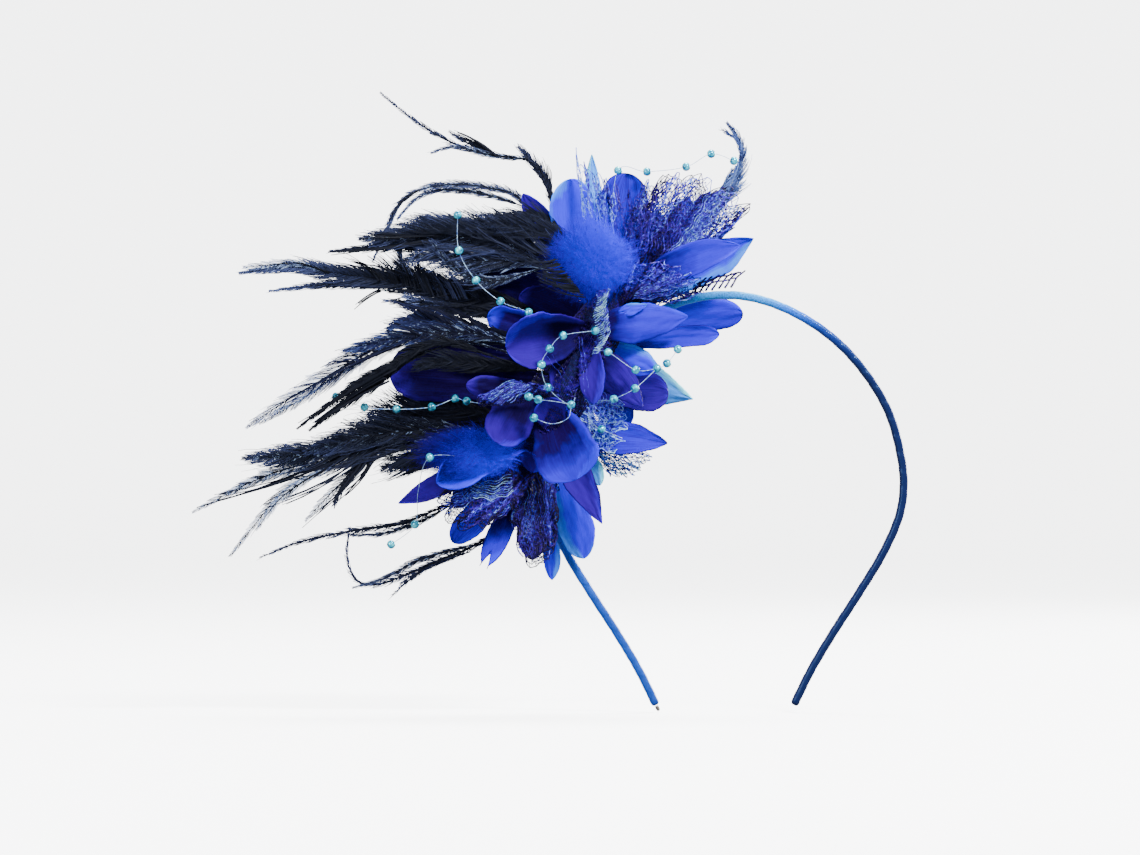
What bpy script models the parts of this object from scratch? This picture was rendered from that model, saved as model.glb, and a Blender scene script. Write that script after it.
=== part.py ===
"""Feather headband: a satin-wound spring band with a corsage of cloth petals, fine net,
pearl beads on thread, cock feathers and marabou down, all set in one glued base.

Millimetres in the tables, metres in the scene. X runs from ear to ear, Z is up, Y is depth
and -Y is the side that shows the corsage. The origin is the inner face of the band's crown.
A place seen from in front is written (x, z); its depth y stands in a column of its own.
"""
import bpy
import bmesh
import math
import random
from mathutils import Vector
from mathutils.bvhtree import BVHTree

MM = 0.001

# Driving sizes
BAND_THICKNESS = 3.1
BAND_WIDTH = 5.0
BAND_SIDES = 8
CLOTH_WALL = 1.0
NET_WALL = 0.9
BLADE_WALL = 1.1
BEAD_RADIUS = 1.6
THREAD_RADIUS = 0.35
ROUND_SIDES = 10
CLEARANCE = 0.3
DEPTH_SPREAD = 1.2
SPLAY = 1.3
SPLAY_REACH = 50.0

# Names of the two collections
PARTS = "feather_headband"
CUTTERS = "feather_headband_cutters"

# Colours of the real cloths, as the finish of each slot
FINISHES = {
    "satin_blue": ((0.03, 0.09, 0.42), 0.35, 0.0),
    "core_metal": ((0.36, 0.33, 0.30), 0.45, 0.9),
    "felt_navy": ((0.02, 0.02, 0.10), 0.95, 0.0),
    "petal_royal": ((0.05, 0.06, 0.62), 0.60, 0.0),
    "petal_indigo": ((0.03, 0.02, 0.30), 0.65, 0.0),
    "petal_sky": ((0.13, 0.24, 0.80), 0.60, 0.0),
    "petal_pale": ((0.28, 0.55, 0.80), 0.60, 0.0),
    "net_blue": ((0.05, 0.06, 0.35), 0.55, 0.0),
    "bead_pearl": ((0.22, 0.68, 0.78), 0.20, 0.1),
    "feather_black": ((0.01, 0.012, 0.04), 0.70, 0.0),
    "feather_blue": ((0.10, 0.20, 0.42), 0.70, 0.0),
    "down_royal": ((0.02, 0.04, 0.80), 0.90, 0.0),
    "down_black": ((0.01, 0.01, 0.05), 0.95, 0.0),
}

# Right half of the band's centre line, mirrored for the left: x out from the middle, z up
BAND_HALF = [
    (0.0, 1.55), (7.2, 1.1), (16.2, -1.1), (26.1, -5.4), (36.0, -11.7), (45.0, -19.8),
    (53.1, -30.1), (58.9, -40.6), (62.4, -52.0), (64.3, -65.0), (62.8, -77.6), (56.9, -91.3),
    (48.2, -105.7), (38.9, -120.1), (31.0, -133.4), (24.8, -146.0),
]

# The glued base that the stems are set in: an oval lump round the band
BASE_CENTRE = (-55.8, -27.9)
BASE_DEPTH = -8.0
BASE_LEAN = 28.5
BASE_SEMI = (9.6, 16.8, 34.0)

# Petals
# name, slot, root, tip, depth at root, depth at tip, half width, widest at, point, cup, bend, bow, roll
PETALS = [
    ("top_far_left", "petal_indigo", (-45.0, -4.5), (-72.7, 38.0), -3.0, -4.0, 4.8, 0.74, 0.5, -0.8, 0.0, 0.0, -12),
    ("top_left", "petal_sky", (-48.6, -2.0), (-57.2, 43.0), -6.0, -8.0, 7.2, 0.74, 0.0, -1.2, 2.0, 0.0, 10),
    ("top_spike", "petal_pale", (-46.4, -11.7), (-47.9, 52.7), 3.2, 3.4, 3.0, 0.70, 0.7, 0.5, 0.0, 0.0, 0),
    ("top_middle", "petal_royal", (-42.1, -2.0), (-36.0, 45.5), -1.2, -1.5, 8.2, 0.74, 0.0, -0.6, 0.0, 0.0, -6),
    ("upper_right", "petal_indigo", (-38.5, -1.3), (4.7, 18.9), -9.0, -12.0, 5.8, 0.66, 0.5, -1.2, 3.0, 0.0, -14),
    ("upper_right_pale", "petal_pale", (-37.8, -3.1), (11.2, 22.5), -1.2, -1.4, 5.2, 0.72, 0.9, -0.4, 0.0, 0.0, 10),
    ("under_band_long", "petal_royal", (-49.3, -15.7), (6.5, -5.2), 4.8, 5.8, 5.0, 0.78, 0.1, 0.6, 1.6, 0.0, 10),
    ("under_band_short", "petal_royal", (-45.0, -16.7), (-2.2, -12.4), -4.9, -5.8, 3.8, 0.80, 0.2, -0.6, 0.0, 0.0, -12),
    ("front_right", "petal_royal", (-48.6, -11.0), (-13.7, -6.3), -18.5, -10.0, 7.0, 0.45, 0.6, 1.2, 0.0, -1.5, 0),
    ("curled_left", "petal_indigo", (-49.3, -16.4), (-78.1, -16.4), -18.5, -24.0, 9.4, 0.66, 0.0, -4.5, 0.0, 0.0, 0),
    ("small_left", "petal_royal", (-57.6, -11.7), (-85.3, -6.7), -12.0, -12.5, 4.6, 0.80, 0.0, -1.0, 0.0, 0.0, 8),
    ("front_middle", "petal_royal", (-49.0, -13.1), (-47.5, -37.6), -21.0, -20.0, 4.6, 0.55, 0.2, -1.0, 0.0, -1.5, 0),
    ("front_triangle", "petal_indigo", (-48.6, -17.5), (-29.9, -38.7), -16.5, -17.0, 6.4, 0.50, 0.9, 1.0, 0.0, 0.0, 0),
    ("middle_light", "petal_sky", (-48.6, -16.4), (-23.4, -25.7), -13.0, -10.5, 5.4, 0.60, 0.7, 0.8, 0.0, 0.0, 8),
    ("pale_point", "petal_pale", (-52.9, -22.5), (-11.2, -35.8), 5.0, 8.0, 6.0, 0.50, 1.0, 0.6, 0.0, 0.0, 12),
    ("lobe_right", "petal_indigo", (-52.2, -32.6), (-20.5, -34.0), -7.0, -5.5, 7.8, 0.78, 0.0, -1.2, 0.0, 0.0, -10),
    ("pointed_right", "petal_indigo", (-57.2, -47.7), (-20.9, -51.7), -9.6, -9.0, 6.2, 0.55, 0.8, -1.4, 0.0, 0.0, 14),
    ("broad_lower", "petal_royal", (-62.3, -35.5), (-50.8, -64.6), -17.0, -21.0, 10.8, 0.62, 0.1, -1.5, 0.0, -1.5, 10),
    ("dark_left", "petal_indigo", (-63.7, -34.0), (-92.5, -31.1), -18.0, -23.5, 4.2, 0.70, 0.2, 1.2, 0.0, 0.0, 0),
    ("ruffle_carrier", "petal_royal", (-63.7, -34.7), (-80.6, -52.4), -20.5, -26.0, 8.6, 0.62, 0.0, 1.5, 0.0, -1.0, 0),
    ("round_left", "petal_indigo", (-64.8, -30.1), (-120.2, -25.4), -9.5, -12.0, 10.0, 0.80, 0.0, -1.2, 0.0, 0.0, -6),
    ("tiny_left", "petal_royal", (-70.2, -50.6), (-118.1, -59.2), -4.2, -4.2, 3.9, 0.88, 0.0, -0.6, 0.0, 0.0, 10),
    ("dark_point_left", "petal_indigo", (-70.2, -52.4), (-117.4, -73.3), -6.4, -6.6, 4.2, 0.72, 0.8, -0.4, 0.0, 0.0, 12),
    ("cup_left", "petal_royal", (-68.4, -50.6), (-103.3, -65.7), -12.0, -18.0, 6.4, 0.72, 0.2, -3.0, -2.0, 0.0, -8),
    ("lower_left", "petal_royal", (-69.1, -54.9), (-97.9, -87.3), -6.4, -7.0, 5.2, 0.78, 0.1, 0.4, 0.0, 0.0, -10),
    ("two_points", "petal_royal", (-67.3, -56.0), (-86.8, -96.3), -9.0, -9.8, 4.2, 0.72, 0.3, -0.5, 0.0, 0.0, 12),
    ("lower_narrow", "petal_sky", (-63.0, -40.5), (-62.3, -101.3), 4.8, 4.8, 2.9, 0.75, 0.5, 0.4, 0.0, 0.0, 10),
    ("indigo_point", "petal_indigo", (-61.9, -47.7), (-44.3, -80.5), -13.0, -12.0, 5.6, 0.50, 0.9, -0.8, 0.0, 0.0, -10),
    ("lower_light", "petal_sky", (-60.8, -50.6), (-50.8, -93.1), -6.2, -7.0, 6.4, 0.74, 0.2, -0.8, 0.0, 0.0, 12),
]

# Nets: each is gathered along one line and ruffles out to a free edge
# name, gathered line, free edge, depth at the gathering, depth at the edge, ruffles, ruffle depth, rag
NETS = [
    ("fan", [(-45.0, -2.3), (-38.9, 1.3), (-32.8, -0.9)], [(-29.5, 40.9), (-12.6, 43.0), (5.8, 34.0), (-1.1, 22.1)],
     -4.4, -5.2, 3.0, 1.7, 2.4),
    ("spikes", [(-46.4, -3.8), (-42.8, -1.3), (-38.9, -3.1)], [(-53.3, 50.2), (-45.7, 43.0), (-37.1, 43.0), (-27.7, 34.4)],
     -10.0, -10.5, 2.5, 1.2, 3.2),
    ("gather_right", [(-40.7, -0.2), (-38.5, -2.3), (-39.2, -4.9)], [(-23.4, 14.2), (-10.8, 7.0), (-11.9, -2.0)],
     -7.4, -6.4, 2.5, 1.0, 1.2),
    ("ribbon", [(-48.6, -17.5), (-44.6, -9.5), (-46.8, -2.3), (-44.3, 2.7)], [(-45.0, -18.2), (-40.3, -9.5), (-42.8, -2.3), (-40.3, 3.4)],
     -22.0, -24.5, 2.0, 1.4, 0.0),
    ("on_petal", [(-62.3, -34.7), (-73.8, -37.3), (-87.5, -38.7)], [(-61.9, -31.9), (-73.8, -30.4), (-88.9, -35.1)],
     -25.0, -28.0, 2.5, 1.0, 0.4),
    ("middle", [(-57.2, -35.5), (-55.1, -44.8), (-52.2, -52.7)], [(-37.1, -36.9), (-36.4, -44.8), (-41.4, -54.9)],
     -12.6, -13.0, 2.5, 0.9, 1.2),
    ("lower_left", [(-73.8, -49.9), (-70.9, -54.9), (-66.6, -59.9)], [(-103.3, -67.1), (-100.4, -80.8), (-86.8, -82.6), (-76.3, -74.0)],
     -13.6, -15.0, 3.5, 1.4, 1.4),
    ("hanging", [(-70.2, -53.5), (-67.3, -56.3), (-63.7, -54.9)], [(-76.7, -80.1), (-70.9, -95.9), (-61.9, -92.3), (-60.8, -67.1)],
     -11.2, -11.4, 3.0, 0.9, 1.2),
]

# Beads on thread: the first place is set in the base, B marks a bead, depth y beside each place
STRINGS = [
    ("top", [[
        ((-40.7, -0.9), -4.0, ""), ((-41.0, 23.2), -4.2, ""), ((-38.5, 46.3), -4.4, "B"), ((-28.1, 45.9), -4.4, "B"),
        ((-14.0, 47.7), -4.0, "B"), ((-5.0, 52.4), -3.6, "B"), ((3.2, 49.9), -3.4, "B")]]),
    ("left", [[
        ((-54.0, -13.1), -14.0, ""), ((-70.6, -5.0), -16.0, "B"), ((-80.6, -1.1), -16.0, "B"), ((-89.3, 6.3), -15.6, "B"),
        ((-95.4, 16.9), -15.6, "B"), ((-95.8, 29.7), -15.6, "B")]]),
    ("middle", [
        [((-53.6, -30.4), -17.0, ""), ((-55.4, -38.0), -23.4, "B"), ((-63.7, -31.9), -26.6, "B"), ((-65.9, -23.8), -28.4, "B"),
         ((-63.0, -18.2), -28.4, "B"), ((-58.3, -13.5), -27.4, "B"), ((-46.8, -11.7), -25.0, "B")],
        [((-55.4, -38.0), -23.4, ""), ((-60.8, -36.9), -28.4, ""), ((-67.1, -36.2), -31.4, "B"), ((-70.4, -35.1), -32.4, "B")],
        [((-55.4, -38.0), -23.4, ""), ((-56.5, -42.7), -25.4, ""), ((-62.3, -44.8), -27.4, ""), ((-68.6, -42.7), -28.6, "B")]]),
    ("right", [
        [((-48.6, -18.9), -18.0, ""), ((-42.3, -19.3), -21.0, "B"), ((-32.5, -25.6), -20.4, "B"), ((-24.8, -25.0), -16.0, "B"),
         ((-21.2, -23.2), -14.6, "B"), ((-17.3, -18.2), -14.0, "B")],
        [((-24.8, -25.0), -16.0, ""), ((-32.7, -32.2), -20.4, "B"), ((-40.2, -36.0), -21.4, "B")]]),
    ("side", [[
        ((-57.2, -41.6), -14.6, ""), ((-48.6, -44.8), -15.6, ""), ((-44.6, -46.8), -16.2, "B"), ((-41.0, -48.4), -15.6, ""),
        ((-37.2, -49.9), -15.0, "")]]),
    ("far_left", [[
        ((-64.8, -39.1), -13.0, ""), ((-81.0, -38.3), -15.8, ""), ((-92.7, -36.7), -15.8, "B"), ((-96.8, -35.8), -15.8, "B"),
        ((-105.1, -38.8), -15.8, "B"), ((-117.7, -39.6), -15.6, "B"), ((-129.1, -38.8), -15.0, "B"),
        ((-139.3, -35.1), -14.6, "B")]]),
    ("lower", [[
        ((-63.7, -47.7), -10.0, ""), ((-69.8, -52.7), -14.0, ""), ((-75.2, -55.6), -20.0, ""), ((-81.0, -56.7), -25.6, ""),
        ((-91.8, -56.7), -27.0, ""), ((-105.5, -56.7), -24.6, "B"), ((-109.8, -68.6), -18.0, ""), ((-111.3, -80.8), -10.0, "B"),
        ((-119.9, -88.0), -9.0, "B")]]),
]

# Feathers: blades of one feather grow into one another
# name, slot, depth at root, depth at tip, blades of (half width, fullest at, quill share, way)
FEATHERS = [
    ("top_quill", "feather_black", 0.9, 1.0, [
        (1.3, 0.75, 0.3, [(-47.2, -11.0), (-54.0, 13.5), (-62.3, 34.0), (-64.8, 43.7), (-70.2, 50.2), (-79.2, 51.7), (-95.4, 55.6),
                          (-110.5, 63.9), (-124.6, 75.1)]),
        (2.8, 0.35, 0.1, [(-61.9, 33.3), (-64.1, 42.3), (-69.1, 49.5), (-74.5, 55.6)])]),
    ("arch", "feather_black", 2.6, 2.6, [
        (1.8, 0.55, 0.25, [(-50.8, -18.2), (-60.8, 19.6), (-73.8, 36.5), (-84.6, 40.5), (-97.2, 41.9), (-109.8, 40.1), (-117.0, 35.5),
                           (-121.3, 26.8), (-127.4, 13.9)])]),
    ("upper_plume", "feather_black", -10.0, -12.0, [
        (10.5, 0.25, 0.05, [(-47.9, -3.1), (-58.7, 10.6), (-73.8, 17.8), (-88.2, 21.4), (-102.6, 22.9), (-117.0, 21.8), (-131.4, 21.4)]),
        (3.2, 0.3, 0.1, [(-81.0, 18.5), (-99.0, 19.3), (-117.0, 18.9), (-142.2, 16.7)])]),
    ("middle_plume", "feather_black", -8.2, -9.0, [
        (6.4, 0.3, 0.1, [(-55.1, -9.9), (-73.8, -3.1), (-88.2, 0.5), (-102.6, 4.1), (-117.0, 6.7), (-135.0, 8.5), (-153.0, 11.3),
                         (-174.6, 9.2)]),
        (2.2, 0.4, 0.1, [(-106.2, 4.1), (-127.8, 5.2), (-145.8, 4.9), (-163.8, 2.7)]),
        (2.6, 0.3, 0.1, [(-84.6, -0.9), (-99.0, -3.1), (-122.8, -0.5)])]),
    ("pale_blade", "feather_blue", -14.6, -15.0, [
        (4.4, 0.6, 0.3, [(-63.7, -23.9), (-88.2, -16.4), (-106.2, -13.9), (-117.0, -15.7), (-127.8, -19.3), (-138.6, -25.7), (-149.4, -32.2),
                         (-160.2, -38.7), (-171.4, -46.3)])]),
    ("black_blade", "feather_black", -17.6, -18.0, [
        (2.6, 0.45, 0.25, [(-63.0, -27.5), (-84.6, -20.3), (-99.0, -15.7), (-109.8, -18.2), (-120.6, -24.7), (-129.6, -29.0), (-136.8, -34.4),
                           (-153.0, -46.6)])]),
    ("lower_plume", "feather_black", -8.6, -9.0, [
        (9.0, 0.45, 0.05, [(-66.6, -48.8), (-88.2, -51.3), (-106.2, -49.5), (-120.6, -50.9), (-135.0, -54.2), (-153.0, -56.3), (-173.5, -57.1)]),
        (3.0, 0.35, 0.1, [(-117.0, -54.2), (-138.6, -57.1), (-156.6, -60.7), (-171.0, -66.1), (-191.2, -76.5)]),
        (2.4, 0.3, 0.1, [(-127.8, -57.1), (-147.6, -62.5), (-158.4, -68.9), (-166.7, -78.3), (-177.8, -92.3)]),
        (2.4, 0.3, 0.1, [(-124.2, -56.3), (-136.8, -65.0), (-150.8, -79.7)])]),
    ("thin_lower", "feather_black", -3.4, -3.4, [
        (1.6, 0.6, 0.25, [(-69.5, -56.3), (-86.4, -67.9), (-102.6, -75.1), (-117.0, -80.8), (-127.8, -82.3), (-138.6, -84.1), (-153.0, -87.3),
                          (-167.8, -93.1)])]),
    ("curl_lower", "feather_black", -1.9, -1.9, [
        (1.7, 0.5, 0.25, [(-67.7, -59.2), (-80.3, -80.8), (-90.0, -88.4), (-102.6, -93.8), (-113.4, -98.5), (-124.2, -102.4), (-132.1, -101.7),
                          (-136.1, -93.8), (-135.4, -81.9)]),
        (1.3, 0.4, 0.1, [(-99.0, -92.3), (-109.8, -98.1), (-119.9, -106.4)])]),
    ("upper_right", "feather_blue", 1.2, 1.2, [
        (3.0, 0.62, 0.25, [(-42.8, -6.7), (-23.4, 10.6), (-10.8, 23.2), (-3.2, 33.3), (3.2, 40.1), (6.1, 48.4), (5.8, 56.7),
                           (0.7, 64.3)])]),
]

# Down: name, slot, centre, depth, half sizes (x, y, z), lean, seed
DOWN = [
    ("upper", "down_royal", (-47.9, 13.5), -17.5, (17.0, 7.6, 17.0), 0, 5),
    ("lower", "down_royal", (-88.9, -53.8), -17.5, (21.0, 6.6, 12.4), 0, 8),
    ("dark", "down_black", (-74.9, -72.2), -4.0, (5.0, 2.2, 15.5), 20, 3),
]


def clear_scene():
    for item in list(bpy.data.objects):
        bpy.data.objects.remove(item)
    for name in (PARTS, CUTTERS):
        found = bpy.data.collections.get(name)
        if found:
            bpy.data.collections.remove(found)


def new_collection(name):
    made = bpy.data.collections.new(name)
    bpy.context.scene.collection.children.link(made)
    return made


def finish(slot):
    found = bpy.data.materials.get(slot)
    if found:
        return found
    colour, rough, metal = FINISHES[slot]
    made = bpy.data.materials.new(slot)
    made.use_nodes = True
    shader = made.node_tree.nodes["Principled BSDF"]
    shader.inputs["Base Color"].default_value = (*colour, 1.0)
    shader.inputs["Roughness"].default_value = rough
    shader.inputs["Metallic"].default_value = metal
    made.diffuse_color = (*colour, 1.0)
    return made


def to_object(name, shape, slot, home):
    mesh = bpy.data.meshes.new(name)
    shape.to_mesh(mesh)
    shape.free()
    made = bpy.data.objects.new(name, mesh)
    made.data.materials.append(finish(slot))
    home.objects.link(made)
    return made


def place(xz, depth):
    return Vector((xz[0], depth * DEPTH_SPREAD, xz[1]))


def splayed(spot):
    """Petals and feathers fan out in depth the further they reach from the base."""
    lean = math.radians(BASE_LEAN)
    rise = Vector((math.sin(lean), math.cos(lean)))
    away = Vector((spot.x - BASE_CENTRE[0], spot.z - BASE_CENTRE[1]))
    along = min(max(away.dot(rise), 6 - BASE_SEMI[2]), BASE_SEMI[2] - 6)
    reach = (away - rise * along).length
    level = BASE_DEPTH * DEPTH_SPREAD
    return Vector((spot.x, level + (spot.y - level) * (1 + SPLAY * reach / (reach + SPLAY_REACH)), spot.z))


def blend(a, b, t):
    return a + (b - a) * t


def smooth_way(points, per_piece):
    """A smooth way through the points, with per_piece samples between neighbours."""
    way = []
    last = len(points) - 1
    for i in range(last):
        before = points[max(i - 1, 0)]
        after = points[min(i + 2, last)]
        a, b = points[i], points[i + 1]
        for k in range(per_piece):
            t = k / per_piece
            way.append(0.5 * (2 * a + (b - before) * t + (2 * before - 5 * a + 4 * b - after) * t ** 2
                              + (3 * a - before - 3 * b + after) * t ** 3))
    way.append(points[last].copy())
    return way


def lengths(way):
    total = [0.0]
    for a, b in zip(way, way[1:]):
        total.append(total[-1] + (b - a).length)
    return total


def at_length(way, total, s):
    s = min(max(s, 0.0), total[-1])
    i = 0
    while i < len(total) - 2 and total[i + 1] < s:
        i += 1
    span = total[i + 1] - total[i]
    return way[i].lerp(way[i + 1], (s - total[i]) / span if span else 0.0)


def evenly(points, count):
    way = smooth_way(points, 12)
    total = lengths(way)
    return [at_length(way, total, total[-1] * i / (count - 1)) for i in range(count)]


def sheet(name, surface, along, across, wall, slot, home):
    """A cloth wall: a grid carried onto surface(u, v), u and v from 0 to 1, then given its thickness."""
    shape = bmesh.new()
    bmesh.ops.create_grid(shape, x_segments=along, y_segments=across, size=0.5)
    for v in shape.verts:
        v.co = splayed(surface(v.co.x + 0.5, v.co.y + 0.5)) * MM
    made = to_object(name, shape, slot, home)
    thick = made.modifiers.new("wall", "SOLIDIFY")
    thick.thickness = wall * MM
    thick.offset = 0.0
    thick.use_even_offset = wall == CLOTH_WALL
    thick.use_rim = True
    return settle(made)


def tube(name, way, across, slot, home, sides):
    """A closed round bar along a way: a grid rolled up, its seam welded and its ends filled.

    across[i] is (half size in the plane, half size in depth) at each sample of the way."""
    shape = bmesh.new()
    bmesh.ops.create_grid(shape, x_segments=len(way) - 1, y_segments=sides, size=0.5)
    frames = []
    normal = Vector((0, -1, 0))
    for i in range(len(way)):
        run = (way[min(i + 1, len(way) - 1)] - way[max(i - 1, 0)]).normalized()
        side = run.cross(normal).normalized()
        normal = side.cross(run).normalized()
        frames.append((side, normal.copy()))
    for v in shape.verts:
        i = round((v.co.x + 0.5) * (len(way) - 1))
        turn = 2 * math.pi * (round((v.co.y + 0.5) * sides) + 0.5) / sides
        side, up = frames[i]
        plane, deep = across[i]
        v.co = (way[i] + side * (plane * math.cos(turn)) + up * (deep * math.sin(turn))) * MM
    bmesh.ops.remove_doubles(shape, verts=shape.verts, dist=0.000002)
    bmesh.ops.holes_fill(shape, edges=[e for e in shape.edges if e.is_boundary], sides=0)
    bmesh.ops.recalc_face_normals(shape, faces=shape.faces)
    return to_object(name, shape, slot, home)


def settle(item):
    """Carries out an object's modifiers, so that what follows works on the finished body."""
    bpy.context.view_layer.update()
    graph = bpy.context.evaluated_depsgraph_get()
    mesh = bpy.data.meshes.new_from_object(item.evaluated_get(graph))
    item.modifiers.clear()
    old = item.data
    item.data = mesh
    mesh.name = item.name
    bpy.data.meshes.remove(old)
    return item


def join(item, other, operation):
    """One exact Boolean of two closed bodies."""
    step = item.modifiers.new("step", "BOOLEAN")
    step.operation = operation
    step.solver = "EXACT"
    step.object = other
    return settle(item)


def keep_largest(item):
    """Leaves only the largest body of what a cut has left."""
    shape = bmesh.new()
    shape.from_mesh(item.data)
    bmesh.ops.remove_doubles(shape, verts=shape.verts, dist=0.000002)
    bmesh.ops.dissolve_degenerate(shape, edges=shape.edges, dist=0.000002)
    left = set(shape.faces)
    bodies = []
    while left:
        seed = left.pop()
        body = [seed]
        todo = [seed]
        while todo:
            face = todo.pop()
            for edge in face.edges:
                for other in edge.link_faces:
                    if other in left:
                        left.remove(other)
                        body.append(other)
                        todo.append(other)
        bodies.append(body)
    bodies.sort(key=lambda body: sum(face.calc_area() for face in body), reverse=True)
    for body in bodies[1:]:
        bmesh.ops.delete(shape, geom=body, context="FACES")
    bmesh.ops.delete(shape, geom=[v for v in shape.verts if not v.link_faces], context="VERTS")
    shape.to_mesh(item.data)
    shape.free()
    return item


def tree_of(item):
    shape = bmesh.new()
    shape.from_mesh(item.data)
    found = BVHTree.FromBMesh(shape)
    shape.free()
    return found


def swollen(item, home):
    """The room that a neighbour leaves round this body."""
    shape = bmesh.new()
    shape.from_mesh(item.data)
    shape.normal_update()
    moves = [(v, v.normal * (CLEARANCE * min(v.calc_shell_factor(), 1.6) * MM)) for v in shape.verts]
    for v, move in moves:
        v.co += move
    made = to_object("room_" + item.name, shape, item.data.materials[0].name, home)
    made.hide_render = True
    made.display_type = "WIRE"
    return made


def fit(item, rooms):
    """Cuts the room of every body that is already there out of this one."""
    mine = tree_of(item)
    for room, tree in rooms:
        if mine.overlap(tree):
            join(item, room, "DIFFERENCE")
            keep_largest(item)
            mine = tree_of(item)
    return item


def petal_outline(u, widest, point):
    if u < widest:
        return 0.34 + 0.66 * math.sin(0.5 * math.pi * u / widest) ** 1.3
    t = (u - widest) / (1 - widest)
    return max(1 - t ** blend(2.4, 1.5, point), 0.0) ** blend(0.5, 1.0, point)


def make_petal(row, home):
    name, slot, root, tip, y0, y1, half, widest, point, cup, bend, bow, roll = row
    a, b = place(root, y0), place(tip, y1)
    run = (b - a).normalized()
    flat = Vector((run.x, 0, run.z)).normalized()
    side = Vector((-flat.z, 0, flat.x))
    face = side.cross(run).normalized()
    if face.y > 0:
        face = -face
    random.seed(name)
    phase = random.uniform(0, 6.28)

    def surface(s, w):
        u = 1 - (1 - s) ** 1.5
        v = 2 * w - 1
        arch = 4 * u * (1 - u)
        spread = max(half * petal_outline(u, widest, point), 0.55)
        if name == "two_points":
            u = u - 0.09 * s ** 6 * (1 - abs(v)) * 2
            spread = max(spread, 1.6)
        turn = math.radians(roll) * u
        out = side * math.cos(turn) + face * math.sin(turn)
        up = face * math.cos(turn) - side * math.sin(turn)
        lift = -cup * (spread / half) * v * v + 0.25 * math.sin(5 * u + phase) * v
        middle = a.lerp(b, u) + side * (bend * arch) + Vector((0, bow * arch, 0))
        return middle + out * (spread * v) + up * lift

    across = 4 if half > 5 else 3 if half > 3.5 else 2
    return sheet("petal_" + name, surface, 5, across, CLOTH_WALL, slot, home)


def make_net(row, home):
    name, gathered, free, y0, y1, ruffles, deep, rag = row
    inner = evenly([place(p, y0) for p in gathered], 41)
    outer = evenly([place(p, y1) for p in free], 41)
    steps = max(8, round(ruffles * 4))

    def surface(u, w):
        k = round(u * 40)
        a, b = inner[k], outer[k]
        ragged = rag * math.sin(2 * math.pi * ruffles * u * 1.7 + 1.0) * w ** 3
        wave = deep * math.sin(2 * math.pi * ruffles * u + 0.6) * w
        away = (b - a).normalized()
        return a.lerp(b, w) + away * ragged + Vector((0, wave, 0))

    return sheet("net_" + name, surface, steps, 3, NET_WALL, "net_blue", home)


def make_string(row, home):
    name, threads = row
    body = None
    for number, thread in enumerate(threads):
        points = [splayed(place(xz, y)) for xz, y, mark in thread]
        way = smooth_way(points, 10)
        total = lengths(way)
        stops = [(0.0, THREAD_RADIUS)]
        for i, (xz, y, mark) in enumerate(thread):
            s = total[min(i * 10, len(total) - 1)]
            if mark == "B":
                for share in (-1.0, -0.46, 0.46, 1.0):
                    size = BEAD_RADIUS * min(1.1 * math.sqrt(max(1 - share * share, 0.0)), 1.0)
                    stops.append((s + share * BEAD_RADIUS, max(size, THREAD_RADIUS)))
            elif 0 < i < len(thread) - 1:
                stops.append((s, THREAD_RADIUS))
        if thread[-1][2] == "":
            stops.append((total[-1], THREAD_RADIUS))
        else:
            stops[-1] = (stops[-1][0], 0.25)
        if thread[0][2] == "" and len(threads) > 1 and number > 0:
            stops[0] = (0.0, THREAD_RADIUS)
        tail = (way[-1] - way[-2]).normalized()
        samples = []
        for s, size in stops:
            spot = at_length(way, total, s)
            if s > total[-1]:
                spot = spot + tail * (s - total[-1])
            samples.append(spot)
        piece = tube("beads_" + name if number == 0 else "branch", samples,
                     [(size, size) for s, size in stops], "bead_pearl", home, ROUND_SIDES)
        if body is None:
            body = piece
        else:
            join(body, piece, "UNION")
            bpy.data.objects.remove(piece)
            keep_largest(body)
    return body


def make_feather(row, home):
    name, slot, y0, y1, blades = row
    body = None
    for number, (half, fullest, quill, way) in enumerate(blades):
        steps = len(way) + (1 if half > 2 else 0)
        shift = 0.12 * number
        points = [place(p, blend(y0, y1, i / (len(way) - 1)) + shift) for i, p in enumerate(way)]
        line = evenly(points, 61)

        def surface(u, w):
            k = round(u * 60)
            run = (line[min(k + 1, 60)] - line[max(k - 1, 0)]).normalized()
            side = Vector((-run.z, 0, run.x)).normalized()
            if u < quill:
                spread = blend(0.7, 0.9, u / quill)
            elif u < fullest:
                spread = 0.9 + (half - 0.9) * math.sin(0.5 * math.pi * (u - quill) / (fullest - quill))
            else:
                t = (u - fullest) / (1 - fullest)
                spread = 0.45 + (half - 0.45) * (1 - t ** 1.4)
            return line[k] + side * (spread * (2 * w - 1))

        piece = sheet("feather_" + name if number == 0 else "branch", surface, steps, 1 if half < 5 else 2,
                      BLADE_WALL, slot, home)
        if body is None:
            body = piece
        else:
            join(body, piece, "UNION")
            bpy.data.objects.remove(piece)
            keep_largest(body)
    return body


def make_down(row, home):
    name, slot, centre, depth, semi, lean, seed = row
    shape = bmesh.new()
    bmesh.ops.create_icosphere(shape, subdivisions=2, radius=1.0)
    random.seed(seed)
    middle = splayed(place(centre, depth))
    turn = math.radians(lean)
    for v in shape.verts:
        lock = random.choice((0.82, 0.90, 1.0, 1.12))
        x, y, z = v.co.x * semi[0] * lock, v.co.y * semi[1] * lock, v.co.z * semi[2] * lock
        v.co = (middle + Vector((x * math.cos(turn) + z * math.sin(turn), y,
                                 z * math.cos(turn) - x * math.sin(turn)))) * MM
    return to_object("down_" + name, shape, slot, home)


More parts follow.
